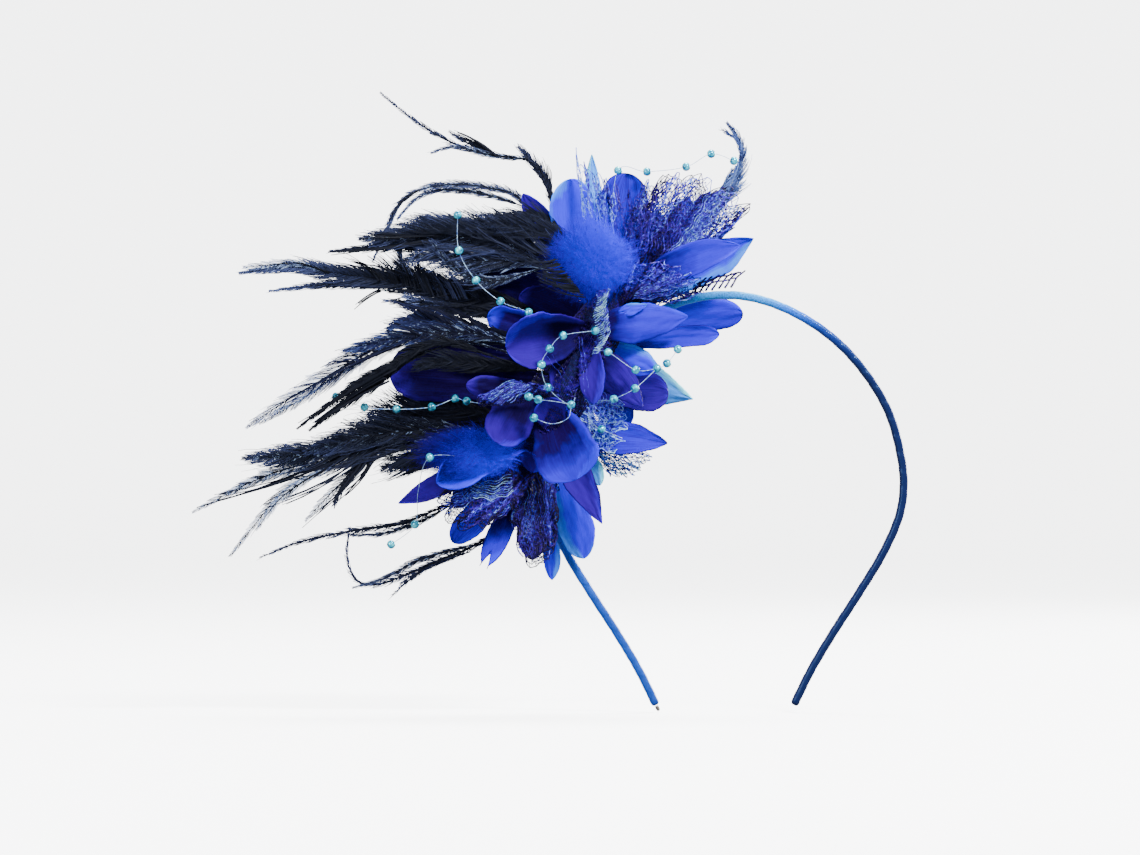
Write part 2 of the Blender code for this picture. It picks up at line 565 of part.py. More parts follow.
def make_band(home):
    right = [Vector((x, 0, z)) for x, z in BAND_HALF]
    left = [Vector((-x, 0, z)) for x, z in reversed(BAND_HALF[1:])]
    way = evenly(left + right, 37)
    ends = [0.55 if i in (0, 36) else 1.0 for i in range(37)]
    half = 0.5 / math.cos(math.pi / BAND_SIDES)
    across = [(BAND_THICKNESS * half * e, BAND_WIDTH * half * e) for e in ends]
    return tube("band", way, across, "satin_blue", home, BAND_SIDES), way


def make_nub(home, way):
    out = (way[0] - way[1]).normalized()
    start = way[0] + out * CLEARANCE
    stops = [start, start + out * 1.4, start + out * 2.0]
    return tube("band_end", stops, [(0.75, 1.0), (0.75, 1.0), (0.4, 0.6)], "core_metal", home, BAND_SIDES)


def make_base(home):
    shape = bmesh.new()
    bmesh.ops.create_uvsphere(shape, u_segments=14, v_segments=9, radius=1.0)
    turn = math.radians(BASE_LEAN)
    for v in shape.verts:
        x, y, z = v.co.x * BASE_SEMI[0], v.co.y * BASE_SEMI[1], v.co.z * BASE_SEMI[2]
        v.co = (place(BASE_CENTRE, BASE_DEPTH)
                + Vector((x * math.cos(turn) + z * math.sin(turn), y,
                          z * math.cos(turn) - x * math.sin(turn)))) * MM
    return to_object("base", shape, "felt_navy", home)


def build():
    clear_scene()
    home = new_collection(PARTS)
    cutters = new_collection(CUTTERS)
    rooms = []

    def add(item):
        fit(item, rooms)
        room = swollen(item, cutters)
        rooms.append((room, tree_of(room)))

    band, way = make_band(home)
    add(band)
    make_nub(home, way)
    add(make_base(home))
    for row in STRINGS:
        add(make_string(row, home))
    for row in PETALS:
        add(make_petal(row, home))
    for row in FEATHERS:
        add(make_feather(row, home))
    for row in NETS:
        add(make_net(row, home))
    for row in DOWN:
        add(make_down(row, home))
    used = {step.object for item in home.objects for step in item.modifiers if step.type == "BOOLEAN"}
    for room, tree in rooms:
        if room not in used:
            bpy.data.objects.remove(room)


build()
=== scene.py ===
# %% [markdown]
# # Feather headband
# A satin-wound spring band carries a corsage of dyed cloth petals, gathered net, pearl beads on
# clear thread, cock feathers and down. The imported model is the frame: it gives every piece its
# place. Each step below dresses one kind of piece as the real one is made.

# %% The frame
import math
import random

import bmesh
import bpy
import numpy as np
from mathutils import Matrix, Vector, noise


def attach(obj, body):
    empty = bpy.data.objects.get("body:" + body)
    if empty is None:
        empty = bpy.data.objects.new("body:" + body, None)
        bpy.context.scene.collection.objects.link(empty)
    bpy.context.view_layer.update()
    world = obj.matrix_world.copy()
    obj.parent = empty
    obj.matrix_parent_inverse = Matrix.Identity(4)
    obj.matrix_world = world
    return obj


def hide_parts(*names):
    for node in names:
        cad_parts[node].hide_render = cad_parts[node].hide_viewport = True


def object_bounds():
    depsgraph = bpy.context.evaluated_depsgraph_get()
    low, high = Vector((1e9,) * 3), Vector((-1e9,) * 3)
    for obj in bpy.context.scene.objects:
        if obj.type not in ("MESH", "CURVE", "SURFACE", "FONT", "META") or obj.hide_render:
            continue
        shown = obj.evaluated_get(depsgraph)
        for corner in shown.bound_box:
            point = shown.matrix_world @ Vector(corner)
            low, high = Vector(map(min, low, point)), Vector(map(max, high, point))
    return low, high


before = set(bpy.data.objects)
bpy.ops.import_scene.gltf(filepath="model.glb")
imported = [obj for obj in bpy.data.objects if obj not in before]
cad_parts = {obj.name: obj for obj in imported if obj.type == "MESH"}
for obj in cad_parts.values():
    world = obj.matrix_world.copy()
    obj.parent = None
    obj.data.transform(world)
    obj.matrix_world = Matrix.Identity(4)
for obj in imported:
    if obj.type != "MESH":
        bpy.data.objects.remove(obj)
cad_low, cad_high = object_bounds()
MM = 0.001
print("CAD box in mm:", [round((b - a) * 1000, 1) for a, b in zip(cad_low, cad_high)])

# %% [markdown]
# ## Camera and light
# The picture was taken level and face-on from far off, so a long lens is used: it keeps the legs
# of the band parallel to the eye. The lens is worked out from the width that the picture shows.
# A white sweep and large soft lamps give the even light of a product picture.

# %% Camera, sweep and lamps
PICTURE_WIDTH = 0.4104
PICTURE_MIDDLE = (-0.0558, -0.0461)
CAMERA_AWAY = 2.5
camera_data = bpy.data.cameras.new("camera")
camera_data.lens = camera_data.sensor_width * CAMERA_AWAY / PICTURE_WIDTH
camera_data.clip_end = 20
camera = bpy.data.objects.new("camera", camera_data)
camera.location = (PICTURE_MIDDLE[0], -CAMERA_AWAY, PICTURE_MIDDLE[1])
camera.rotation_euler = (math.radians(90), 0, 0)
bpy.context.scene.collection.objects.link(camera)
bpy.context.scene.camera = camera

FLOOR_HEIGHT = cad_low.z - 0.0005
SWEEP_HALF_WIDTH = 3.6
SWEEP_FRONT = -3.2
SWEEP_BACK = 3.0
SWEEP_BEND = 0.9
SWEEP_STEPS = 12
SWEEP_TOP = 4.6


def finished(name, shape, material=None, smooth=True):
    """Turns a bmesh into an object of the scene."""
    mesh = bpy.data.meshes.new(name)
    shape.to_mesh(mesh)
    shape.free()
    if smooth:
        mesh.polygons.foreach_set("use_smooth", [True] * len(mesh.polygons))
    made = bpy.data.objects.new(name, mesh)
    bpy.context.scene.collection.objects.link(made)
    if material:
        made.data.materials.append(material)
    return made


def sweep_floor():
    """A floor that curves up into a wall, made by extruding one edge along its profile."""
    shape = bmesh.new()
    ends = (-SWEEP_HALF_WIDTH, SWEEP_HALF_WIDTH)
    edge = shape.edges.new([shape.verts.new((x, SWEEP_FRONT, FLOOR_HEIGHT)) for x in ends])
    profile = [(SWEEP_BACK, FLOOR_HEIGHT)]
    for step in range(1, SWEEP_STEPS + 1):
        turn = math.pi / 2 * step / SWEEP_STEPS
        profile.append((SWEEP_BACK + SWEEP_BEND * math.sin(turn),
                        FLOOR_HEIGHT + SWEEP_BEND * (1 - math.cos(turn))))
    profile.append((SWEEP_BACK + SWEEP_BEND, SWEEP_TOP))
    for y, z in profile:
        made = bmesh.ops.extrude_edge_only(shape, edges=[edge])["geom"]
        edge = [g for g in made if isinstance(g, bmesh.types.BMEdge)][0]
        for v in edge.verts:
            v.co.y, v.co.z = y, z
    bmesh.ops.recalc_face_normals(shape, faces=shape.faces)
    return finished("sweep", shape)


def lamp(name, place, aim, size, power):
    """A round soft lamp; size is its width in metres and power its watts."""
    data = bpy.data.lights.new(name, "AREA")
    data.shape = "DISK"
    data.size = size
    data.energy = power
    made = bpy.data.objects.new(name, data)
    made.location = place
    made.rotation_euler = (Vector(aim) - Vector(place)).to_track_quat("-Z", "Y").to_euler()
    bpy.context.scene.collection.objects.link(made)


sweep = sweep_floor()
sweep.visible_diffuse = False
sweep.visible_glossy = False
MIDDLE = (-0.06, 0, -0.04)
lamp("key", (0.75, -1.0, 1.15), MIDDLE, 0.4, 72)
lamp("fill", (-1.4, -1.6, 0.4), MIDDLE, 1.0, 34)
lamp("top", (0.1, 0.5, 1.3), MIDDLE, 0.6, 42)
lamp("back", (0.9, 1.1, 0.3), MIDDLE, 0.7, 30)
world = bpy.data.worlds.new("studio")
world.use_nodes = True
background = world.node_tree.nodes["Background"]
background.inputs["Color"].default_value = (0.85, 0.92, 1.0, 1)
background.inputs["Strength"].default_value = 0.52
bpy.context.scene.world = world
print("lens in mm:", round(camera_data.lens, 1))

# %% [markdown]
# ## Finishes
# Cloth, feather and satin all change colour along each piece. Every soft piece here is a grid
# that was bent into place, so its own map still runs from 0 to 1 along and across it. The colour,
# the veins and the weave are read from that map, so that they follow the piece.


# %% A helper for materials
def finish(name, colour, rough, sheen=0.0, metal=0.0):
    """A new material, its node tree and its Principled shader."""
    made = bpy.data.materials.new(name)
    made.use_nodes = True
    made.diffuse_color = (*colour, 1)
    shader = made.node_tree.nodes["Principled BSDF"]
    shader.inputs["Base Color"].default_value = (*colour, 1)
    shader.inputs["Roughness"].default_value = rough
    shader.inputs["Metallic"].default_value = metal
    shader.inputs["Sheen Weight"].default_value = sheen
    return made, made.node_tree, shader


def attribute(tree, name):
    """A number that the mesh stores for each of its points."""
    made = tree.nodes.new("ShaderNodeAttribute")
    made.attribute_name = name
    return made.outputs["Fac"]


def clouds(tree, spots, detail, rough=0.5, scale=1.0):
    """Soft noise read at spots."""
    made = tree.nodes.new("ShaderNodeTexNoise")
    tree.links.new(spots, made.inputs["Vector"])
    made.inputs["Scale"].default_value = scale
    made.inputs["Detail"].default_value = detail
    made.inputs["Roughness"].default_value = rough
    return made


def times_plus(tree, value, factor, added):
    """value times factor plus added, in one node."""
    made = tree.nodes.new("ShaderNodeMath")
    made.operation = "MULTIPLY_ADD"
    tree.links.new(value, made.inputs[0])
    made.inputs[1].default_value = factor
    tree.links.new(added, made.inputs[2])
    return made.outputs[0]


def times(tree, value, factor):
    """value times factor, which is a number or another output."""
    made = tree.nodes.new("ShaderNodeMath")
    made.operation = "MULTIPLY"
    tree.links.new(value, made.inputs[0])
    if isinstance(factor, bpy.types.NodeSocket):
        tree.links.new(factor, made.inputs[1])
    else:
        made.inputs[1].default_value = factor
    return made.outputs[0]


def ramp(tree, factor, *stops):
    """A colour ramp: each stop is (place, colour)."""
    made = tree.nodes.new("ShaderNodeValToRGB")
    tree.links.new(factor, made.inputs["Fac"])
    while len(made.color_ramp.elements) < len(stops):
        made.color_ramp.elements.new(0.5)
    for element, (spot, colour) in zip(made.color_ramp.elements, stops):
        element.position = spot
        element.color = (*colour, 1)
    return made.outputs["Color"]


def mix(tree, factor, a, b):
    """Colour a where factor is 0 and b where it is 1. The colour sockets are numbers 6 and 7."""
    made = tree.nodes.new("ShaderNodeMix")
    made.data_type = "RGBA"
    for spot, value in ((0, factor), (6, a), (7, b)):
        if isinstance(value, bpy.types.NodeSocket):
            tree.links.new(value, made.inputs[spot])
        elif spot == 0:
            made.inputs[0].default_value = value
        else:
            made.inputs[spot].default_value = (*value, 1)
    return made.outputs[2]


def bump(tree, shader, height, strength, distance):
    """Small relief from height, distance metres deep."""
    made = tree.nodes.new("ShaderNodeBump")
    made.inputs["Strength"].default_value = strength
    made.inputs["Distance"].default_value = distance
    tree.links.new(height, made.inputs["Height"])
    tree.links.new(made.outputs["Normal"], shader.inputs["Normal"])


def scaled_map(tree, source, scale):
    """The coordinates called source, scaled."""
    coordinates = tree.nodes.new("ShaderNodeTexCoord")
    made = tree.nodes.new("ShaderNodeMapping")
    made.inputs["Scale"].default_value = scale
    tree.links.new(coordinates.outputs[source], made.inputs["Vector"])
    return made.outputs["Vector"]


def own_map(tree, scale):
    """The piece's own map, along and across it."""
    return scaled_map(tree, "UV", (*scale, 1))


def object_map(tree, scale):
    """Places in the object, for grain that has no direction."""
    return scaled_map(tree, "Object", (scale, scale, scale))


# %% [markdown]
# ### Petal cloth
# The petals are cut from dyed polyester satin. Their colour runs from painted shade at the root,
# deep in the corsage, to painted light on the lit side and on the thin edges, which let light
# through. Fine ribs fan out from the root, and a much finer weave lies over everything.


# %% Petal cloth
def petal_cloth(name, root, body, edge, vein):
    """Satin in four tones: painted shade at the root, the body, painted light on thin edges, and the
    veins.
    """
    made, tree, shader = finish(name, body, 0.50, 0.03)
    shader.inputs["Specular Tint"].default_value = (0.06, 0.03, 1.0, 1)
    shader.inputs["Sheen Roughness"].default_value = 0.4
    shader.inputs["Sheen Tint"].default_value = (*edge, 1)
    shader.inputs["Specular IOR Level"].default_value = 0.22
    ribs = clouds(tree, own_map(tree, (1.6, 30)), 5.0, 0.6)
    patches = clouds(tree, object_map(tree, 160), 3.0)
    # the level of dye and of painted shade and light is shifted a little by the ribs and by soft
    # clouds, so that it never bands
    level = times_plus(tree, patches.outputs["Fac"], 0.34, attribute(tree, "dye_and_painted_light"))
    level = times_plus(tree, ribs.outputs["Fac"], 0.22, level)
    # the root colour is painted shade and the edge colour is painted light
    base = ramp(tree, level, (0.32, root), (0.61, body), (0.84, body), (1.0, edge))
    # the ribs only mark the cloth where the press left them, which is an attribute of each petal
    lines = ramp(tree, ribs.outputs["Fac"], (0.38, (1, 1, 1)), (0.54, (0, 0, 0)))
    base = mix(tree, times(tree, lines, attribute(tree, "veins")), base, vein)
    tree.links.new(base, shader.inputs["Base Color"])
    weave = clouds(tree, own_map(tree, (60, 150)), 2.0, scale=3.0)
    height = mix(tree, 0.35, ribs.outputs["Color"], weave.outputs["Color"])
    bump(tree, shader, height, 0.6, 0.0004)
    return made


PETAL_CLOTHS = {
    "petal_royal": petal_cloth("petal_royal", (0.006, 0.0, 0.034), (0.021, 0.0, 0.64),
                               (0.022, 0.004, 1.0), (0.018, 0.001, 0.24)),
    "petal_indigo": petal_cloth("petal_indigo", (0.004, 0.001, 0.016), (0.027, 0.0, 0.24),
                                (0.042, 0.0, 0.68), (0.012, 0.001, 0.11)),
    "petal_sky": petal_cloth("petal_sky", (0.012, 0.002, 0.20), (0.026, 0.004, 0.96),
                             (0.05, 0.26, 1.0), (0.022, 0.006, 0.55)),
    "petal_pale": petal_cloth("petal_pale", (0.04, 0.03, 0.60), (0.07, 0.36, 1.0),
                              (0.20, 0.88, 1.0), (0.04, 0.16, 0.80)),
}
print("petal cloths:", ", ".join(PETAL_CLOTHS))

# %% [markdown]
# ## The splay of the corsage
# The stems are all glued in one lump, so petals near the front lean forward and petals near the
# back lean back. One rule gives that lean to every piece, the same rule as in the solids, so the
# fine pieces stay inside the coarse ones. It works on whole arrays, because a feather has
# hundreds of barbs.

# %% Places and the splay rule
BASE_MIDDLE = np.array((-55.8, -27.9))
BASE_LEVEL = -9.6
BASE_LEAN = math.radians(28.5)
BASE_SEMI = (9.6, 16.8, 34.0)
DEPTH_SPREAD = 1.2
AXIS_MARGIN = 6
MOST_SPLAY = 1.3
HALF_SPLAY_REACH = 50


def splayed(p):
    """Points in mm, one a row; the depth grows with the reach from the base's long axis."""
    p = np.asarray(p, float)
    rise = np.array([math.sin(BASE_LEAN), math.cos(BASE_LEAN)])
    away = p[..., [0, 2]] - BASE_MIDDLE
    along = np.clip(away @ rise, AXIS_MARGIN - BASE_SEMI[2], BASE_SEMI[2] - AXIS_MARGIN)
    reach = np.linalg.norm(away - along[..., None] * rise, axis=-1)
    growth = 1 + MOST_SPLAY * reach / (reach + HALF_SPLAY_REACH)
    out = p.copy()
    out[..., 1] = BASE_LEVEL + (p[..., 1] - BASE_LEVEL) * growth
    return out


def place(xz, depth):
    """A point of a table, whose depths are a little flatter than the corsage is."""
    return np.array([xz[0], depth * DEPTH_SPREAD, xz[1]])


def smooth_way(points, per_piece=12):
    """Samples of a smooth line through the points."""
    points = [np.asarray(p, float) for p in points]
    way = []
    last = len(points) - 1
    for i in range(last):
        before, after = points[max(i - 1, 0)], points[min(i + 2, last)]
        a, b = points[i], points[i + 1]
        for k in range(per_piece):
            t = k / per_piece
            way.append(0.5 * (2 * a + (b - before) * t
                              + (2 * before - 5 * a + 4 * b - after) * t ** 2
                              + (3 * a - before - 3 * b + after) * t ** 3))
    way.append(points[last])
    return np.array(way)


def along_way(way, shares):
    """Points of a sampled line at shares of its length, 0 to 1."""
    steps = np.linalg.norm(np.diff(way, axis=0), axis=1)
    total = np.concatenate([[0], np.cumsum(steps)])
    at = np.asarray(shares) * total[-1]
    return np.stack([np.interp(at, total, way[:, k]) for k in range(3)], -1)


def unit(v):
    """Rows of v, each made one long."""
    return v / np.maximum(np.linalg.norm(v, axis=-1, keepdims=True), 1e-9)


def grid_spots(item):
    """Where each point of a flat grid lies along and across it, read from the mesh."""
    flat = np.empty(len(item.data.vertices) * 3)
    item.data.vertices.foreach_get("co", flat)
    flat = flat.reshape(-1, 3) + 0.5
    return flat[:, 0], flat[:, 1]


def grid_piece(name, along, across, surface, material, wall=0.0, keep=None):
    """A grid of along by across faces, carried by surface(u, v) in mm, as one object.

    keep(row of faces) says which rows stay, so that a grid can be cut into a comb."""
    shape = bmesh.new()
    shape.loops.layers.uv.new("map")
    bmesh.ops.create_grid(shape, x_segments=along, y_segments=across, size=0.5, calc_uvs=True)
    if keep:
        gone = [f for f in shape.faces if not keep(int((f.calc_center_median().y + 0.5) * across))]
        bmesh.ops.delete(shape, geom=gone, context="FACES")
    made = finished(name, shape, material)
    u, v = grid_spots(made)
    made.data.vertices.foreach_set("co", (surface(u, v) * MM).reshape(-1))
    made.data.update()
    if wall:
        thick = made.modifiers.new("wall", "SOLIDIFY")
        thick.thickness = wall * MM
        thick.offset = 0.0
    return made


def area_of(item):
    """The area of a piece's faces in square metres, before its modifiers."""
    return sum(face.area for face in item.data.polygons)


def thread_area(item):
    """The area that a net's threads cover, which is half of their skin, in square metres."""
    shown = item.evaluated_get(bpy.context.evaluated_depsgraph_get())
    mesh = shown.to_mesh()
    skin = sum(face.area for face in mesh.polygons)
    shown.to_mesh_clear()
    return skin / 2


def shade(item, name, values):
    """Stores one number for each point of a mesh, which its material reads back."""
    stored = item.data.attributes.new(name, "FLOAT", "POINT")
    stored.data.foreach_set("value", np.asarray(values, np.float32))


def stretch_map(item, along, across):
    """Scales a grid's own map, so that a pattern keeps its size on long and short pieces."""
    spots = item.data.uv_layers.active.data
    flat = np.empty(len(spots) * 2)
    spots.foreach_get("uv", flat)
    spots.foreach_set("uv", (flat.reshape(-1, 2) * (along, across)).reshape(-1))


def comb(name, lines, across, material):
    """Many thin strips as one mesh: a grid that loses every second row of its faces.

    lines holds the middle of each strip and across its width, both as strips x samples x 3."""
    count, samples = lines.shape[:2]
    columns = 2 * count - 1
    edges = np.array([-0.5, 0.5])

    def surface(t, w):
        column = np.round(w * columns).astype(int)
        strip = np.minimum(column // 2, count - 1)
        k = np.round(t * (samples - 1)).astype(int)
        return lines[strip, k] + across[strip, k] * edges[column % 2][:, None]

    return grid_piece(name, samples - 1, columns, surface, material, keep=lambda row: row % 2 == 0)


print("base lean in degrees:", round(math.degrees(BASE_LEAN), 1))

# %% [markdown]
# ## Petals
# Each petal is a separate piece of cloth, cut to an outline, pressed to a shallow cup and glued
# by its stem. A grid is bent over a straight rib: it narrows to the outline, lifts at its edges,
# and gets small waves where the cut edge has curled. The table is the same as that of the solids.

# %% The petal table
# Lengths are in mm from the middle of the band, and roll in degrees.
PETAL_COLUMNS = ("name", "cloth", "root", "tip", "root_depth", "tip_depth", "half_width", "widest_at",
                 "point", "cup", "bend", "bow", "roll")
PETALS = [
    ("top_far_left", "petal_indigo", (-45.0, -4.5), (-72.7, 38.0), -3.0, -4.0,
     4.8, 0.74, 0.5, -0.8, 0.0, 0.0, -12),
    ("top_left", "petal_sky", (-48.6, -2.0), (-57.2, 43.0), -6.0, -8.0,
     7.2, 0.74, 0.0, -1.2, 2.0, 0.0, 10),
    ("top_spike", "petal_pale", (-46.4, -11.7), (-47.9, 52.7), 3.2, 3.4,
     3.0, 0.7, 0.7, 0.5, 0.0, 0.0, 0),
    ("top_middle", "petal_royal", (-42.1, -2.0), (-36.0, 45.5), -1.2, -1.5,
     8.2, 0.74, 0.0, -0.6, 0.0, 0.0, -6),
    ("upper_right", "petal_indigo", (-38.5, -1.3), (4.7, 18.9), -9.0, -12.0,
     5.8, 0.66, 0.5, -1.2, 3.0, 0.0, -14),
    ("upper_right_pale", "petal_pale", (-37.8, -3.1), (11.2, 22.5), -1.2, -1.4,
     5.2, 0.72, 0.9, -0.4, 0.0, 0.0, 10),
    ("under_band_long", "petal_royal", (-49.3, -15.7), (6.5, -5.2), 4.8, 5.8,
     5.0, 0.78, 0.1, 0.6, 1.6, 0.0, 10),
    ("under_band_short", "petal_royal", (-45.0, -16.7), (-2.2, -12.4), -4.9, -5.8,
     3.8, 0.8, 0.2, -0.6, 0.0, 0.0, -12),
    ("front_right", "petal_royal", (-48.6, -11.0), (-13.7, -6.3), -18.5, -10.0,
     7.0, 0.45, 0.6, 1.2, 0.0, -1.5, 0),
    ("curled_left", "petal_indigo", (-49.3, -16.4), (-78.1, -16.4), -18.5, -24.0,
     9.4, 0.66, 0.0, -4.5, 0.0, 0.0, 0),
    ("small_left", "petal_royal", (-57.6, -11.7), (-85.3, -6.7), -12.0, -12.5,
     4.6, 0.8, 0.0, -1.0, 0.0, 0.0, 8),
    ("front_middle", "petal_royal", (-49.0, -13.1), (-47.5, -37.6), -21.0, -20.0,
     4.6, 0.55, 0.2, -1.0, 0.0, -1.5, 0),
    ("front_triangle", "petal_indigo", (-48.6, -17.5), (-29.9, -38.7), -16.5, -17.0,
     6.4, 0.5, 0.9, 1.0, 0.0, 0.0, 0),
    ("middle_light", "petal_sky", (-48.6, -16.4), (-23.4, -25.7), -13.0, -10.5,
     5.4, 0.6, 0.7, 0.8, 0.0, 0.0, 8),
    ("pale_point", "petal_pale", (-52.9, -22.5), (-11.2, -35.8), 5.0, 8.0,
     6.0, 0.5, 1.0, 0.6, 0.0, 0.0, 12),
    ("lobe_right", "petal_indigo", (-52.2, -32.6), (-20.5, -34.0), -7.0, -5.5,
     7.8, 0.78, 0.0, -1.2, 0.0, 0.0, -10),
    ("pointed_right", "petal_indigo", (-57.2, -47.7), (-20.9, -51.7), -9.6, -9.0,
     6.2, 0.55, 0.8, -1.4, 0.0, 0.0, 14),
    ("broad_lower", "petal_royal", (-62.3, -35.5), (-50.8, -64.6), -17.0, -21.0,
     10.8, 0.62, 0.1, -1.5, 0.0, -1.5, 10),
    ("dark_left", "petal_indigo", (-63.7, -34.0), (-92.5, -31.1), -18.0, -23.5,
     4.2, 0.7, 0.2, 1.2, 0.0, 0.0, 0),
    ("ruffle_carrier", "petal_royal", (-63.7, -34.7), (-80.6, -52.4), -20.5, -26.0,
     8.6, 0.62, 0.0, 1.5, 0.0, -1.0, 0),
    ("round_left", "petal_indigo", (-64.8, -30.1), (-120.2, -25.4), -9.5, -12.0,
     10.0, 0.8, 0.0, -1.2, 0.0, 0.0, -6),
    ("tiny_left", "petal_royal", (-70.2, -50.6), (-118.1, -59.2), -4.2, -4.2,
     3.9, 0.88, 0.0, -0.6, 0.0, 0.0, 10),
    ("dark_point_left", "petal_indigo", (-70.2, -52.4), (-117.4, -73.3), -6.4, -6.6,
     4.2, 0.72, 0.8, -0.4, 0.0, 0.0, 12),
    ("cup_left", "petal_royal", (-68.4, -50.6), (-103.3, -65.7), -12.0, -18.0,
     6.4, 0.72, 0.2, -3.0, -2.0, 0.0, -8),
    ("lower_left", "petal_royal", (-69.1, -54.9), (-97.9, -87.3), -6.4, -7.0,
     5.2, 0.78, 0.1, 0.4, 0.0, 0.0, -10),
    ("two_points", "petal_royal", (-67.3, -56.0), (-86.8, -96.3), -9.0, -9.8,
     4.2, 0.72, 0.3, -0.5, 0.0, 0.0, 12),
    ("lower_narrow", "petal_sky", (-63.0, -40.5), (-62.3, -101.3), 4.8, 4.8,
     2.9, 0.75, 0.5, 0.4, 0.0, 0.0, 10),
    ("indigo_point", "petal_indigo", (-61.9, -47.7), (-44.3, -80.5), -13.0, -12.0,
     5.6, 0.5, 0.9, -0.8, 0.0, 0.0, -10),
    ("lower_light", "petal_sky", (-60.8, -50.6), (-50.8, -93.1), -6.2, -7.0,
     6.4, 0.74, 0.2, -0.8, 0.0, 0.0, 12),
]


def petal_outline(u, widest, point):
    """The share of the half width at u from root to tip; point 0 is round and 1 is sharp."""
    low = 0.34 + 0.66 * np.sin(0.5 * np.pi * np.clip(u / widest, 0, 1)) ** 1.3
    t = np.clip((u - widest) / (1 - widest), 0, 1)
    top = (1 - t ** (2.4 - 0.9 * point)) ** (0.5 + 0.5 * point)
    return np.where(u < widest, low, top)


# How each petal is shaded and pressed, where it isn't plain: how far the painted shade at the root
# reaches, which side gets painted light and how much, and how far one side curls forward in mm.
LOOKS = {
    "top_far_left": (0.4, -1, 0.3, 0.0),
    "top_left": (0.12, 1, 0.6, 1.0),
    "top_spike": (0.1, 1, 0.6, 0.0),
    "top_middle": (0.5, -1, 0.5, -1.0),
    "upper_right": (0.6, -1, 0.2, 0.8),
    "upper_right_pale": (0.0, -1, 1.4, 0.0),
    "under_band_long": (0.42, 1, 0.5, 0.8),
    "under_band_short": (0.45, -1, 0.5, 0.0),
    "front_right": (0.42, 1, 0.9, 0.8),
    "curled_left": (0.62, -1, 1.2, 3.6),
    "small_left": (0.98, -1, 0.5, 1.2),
    "front_middle": (0.2, 1, 1.1, 0.6),
    "front_triangle": (0.45, 1, 0.4, 0.0),
    "middle_light": (0.0, 1, 1.0, 0.0),
    "pale_point": (0.0, 1, 1.0, 0.0),
    "lobe_right": (0.38, 1, 0.2, 0.6),
    "pointed_right": (0.25, -1, 0.5, 0.8),
    "broad_lower": (0.86, 1, 2.2, 1.0),
    "dark_left": (1.08, -1, 0.3, 0.6),
    "ruffle_carrier": (0.74, 1, 1.1, 1.0),
    "round_left": (1.06, -1, 0.7, 1.0),
    "dark_upper": (1.0, -1, 0.1, 0.8),
    "behind_fan": (0.3, 1, 0.2, 0.0),
    "inner_lobe": (0.15, 1, 0.2, 0.8),
    "pale_sliver": (0.0, 1, 1.0, 0.0),
    "inner_dark": (0.9, 1, 0.3, 0.6),
    "low_dark": (0.95, 1, 0.2, 0.4),
    "fan_back": (0.8, 1, 0.3, 0.0),
    "fan_middle": (0.75, 1, 0.3, 0.0),
    "hanging_back": (1.3, 1, 0.0, 0.0),
    "left_back": (0.7, 1, 0.4, 0.0),
    "scrap": (0.0, 1, 1.0, 0.0),
    "dark_gap": (1.4, 1, 0.0, 0.0),
    "behind_curl": (1.1, 1, 0.1, 0.0),
    "violet_left": (1.15, 1, 0.1, 0.6),
    "behind_round": (1.1, 1, 0.1, 0.0),
    "behind_middle": (0.7, 1, 0.4, 0.0),
    "behind_net": (0.85, 1, 0.3, 0.0),
    "broad_root": (0.5, 1, 0.3, 0.0),
    "tiny_left": (0.6, 1, 0.3, 0.0),
    "dark_point_left": (0.75, 1, 0.4, 0.0),
    "cup_left": (0.66, 1, 1.5, 4.5),
    "lower_left": (0.62, 1, 0.8, 0.6),
    "two_points": (0.8, 1, 1.9, 0.0),
    "lower_narrow": (0.6, 1, 1.2, 0.0),
    "indigo_point": (0.35, 1, 1.2, 0.6),
    "lower_light": (0.1, -1, 1.2, 0.8),
}


def smooth_step(x):
    """Runs softly from 0 to 1 as x does."""
    x = np.clip(x, 0, 1)
    return x * x * (3 - 2 * x)


LIGHTEST = 0.74


def dye_level(u, v, dark, lit_side, lit, rim, cut_edge):
    """Painted shade and light: 0 in the shade at the root, about 0.4 in the body of the petal and up
    to LIGHTEST on its lit side, rim, tip and edges.
    """
    # painted shade at the root, and painted light toward the tip, on the edges, on the lit side and
    # on the rim
    body = 0.42 * smooth_step((u - dark + 0.30) / 0.52)
    tip = smooth_step((u - 0.80) / 0.2)
    edge = smooth_step((np.abs(v) - 0.72) / 0.28) * smooth_step(u / 0.5)
    side = smooth_step((lit_side * v + 0.1) / 1.0) * smooth_step((u - dark * 0.6) / 0.5)
    rim_light = rim * smooth_step((lit_side * v - 0.60) / 0.26) * smooth_step(5 * u)
    level = np.clip(body + 0.15 * tip + 0.10 * edge + 0.24 * lit * side + rim_light, 0, LIGHTEST)
    return level * np.where((np.abs(v) > 0.99) | (u > 0.995), cut_edge, 1)


# painted light: the turned-over edge of some petals is lighter all along, where it faces the light
LIT_RIMS = {"curled_left": 0.50, "ruffle_carrier": 0.12, "cup_left": 0.35, "dark_left": 0.14,
        "broad_lower": 0.30, "small_left": 0.25}
# the cut edge of others is darker
DARKER_CUT_EDGE = 0.15
DARK_EDGED = ("under_band_long", "under_band_short", "pointed_right", "lobe_right", "indigo_point",
              "top_middle", "front_triangle", "two_points")
# how clearly the pressed veins show
VEINED = ("lobe_right", "pointed_right", "front_triangle", "lower_left", "top_middle")
CLEAR_VEINS = 0.85
FAINT_VEINS = 0.22

# %% The surface of a petal
FULL_TURN = 6.28


def crowded(s):
    """Grid rows stand closer near the tip, where a petal's outline turns fastest."""
    return 1 - (1 - s) ** 1.5


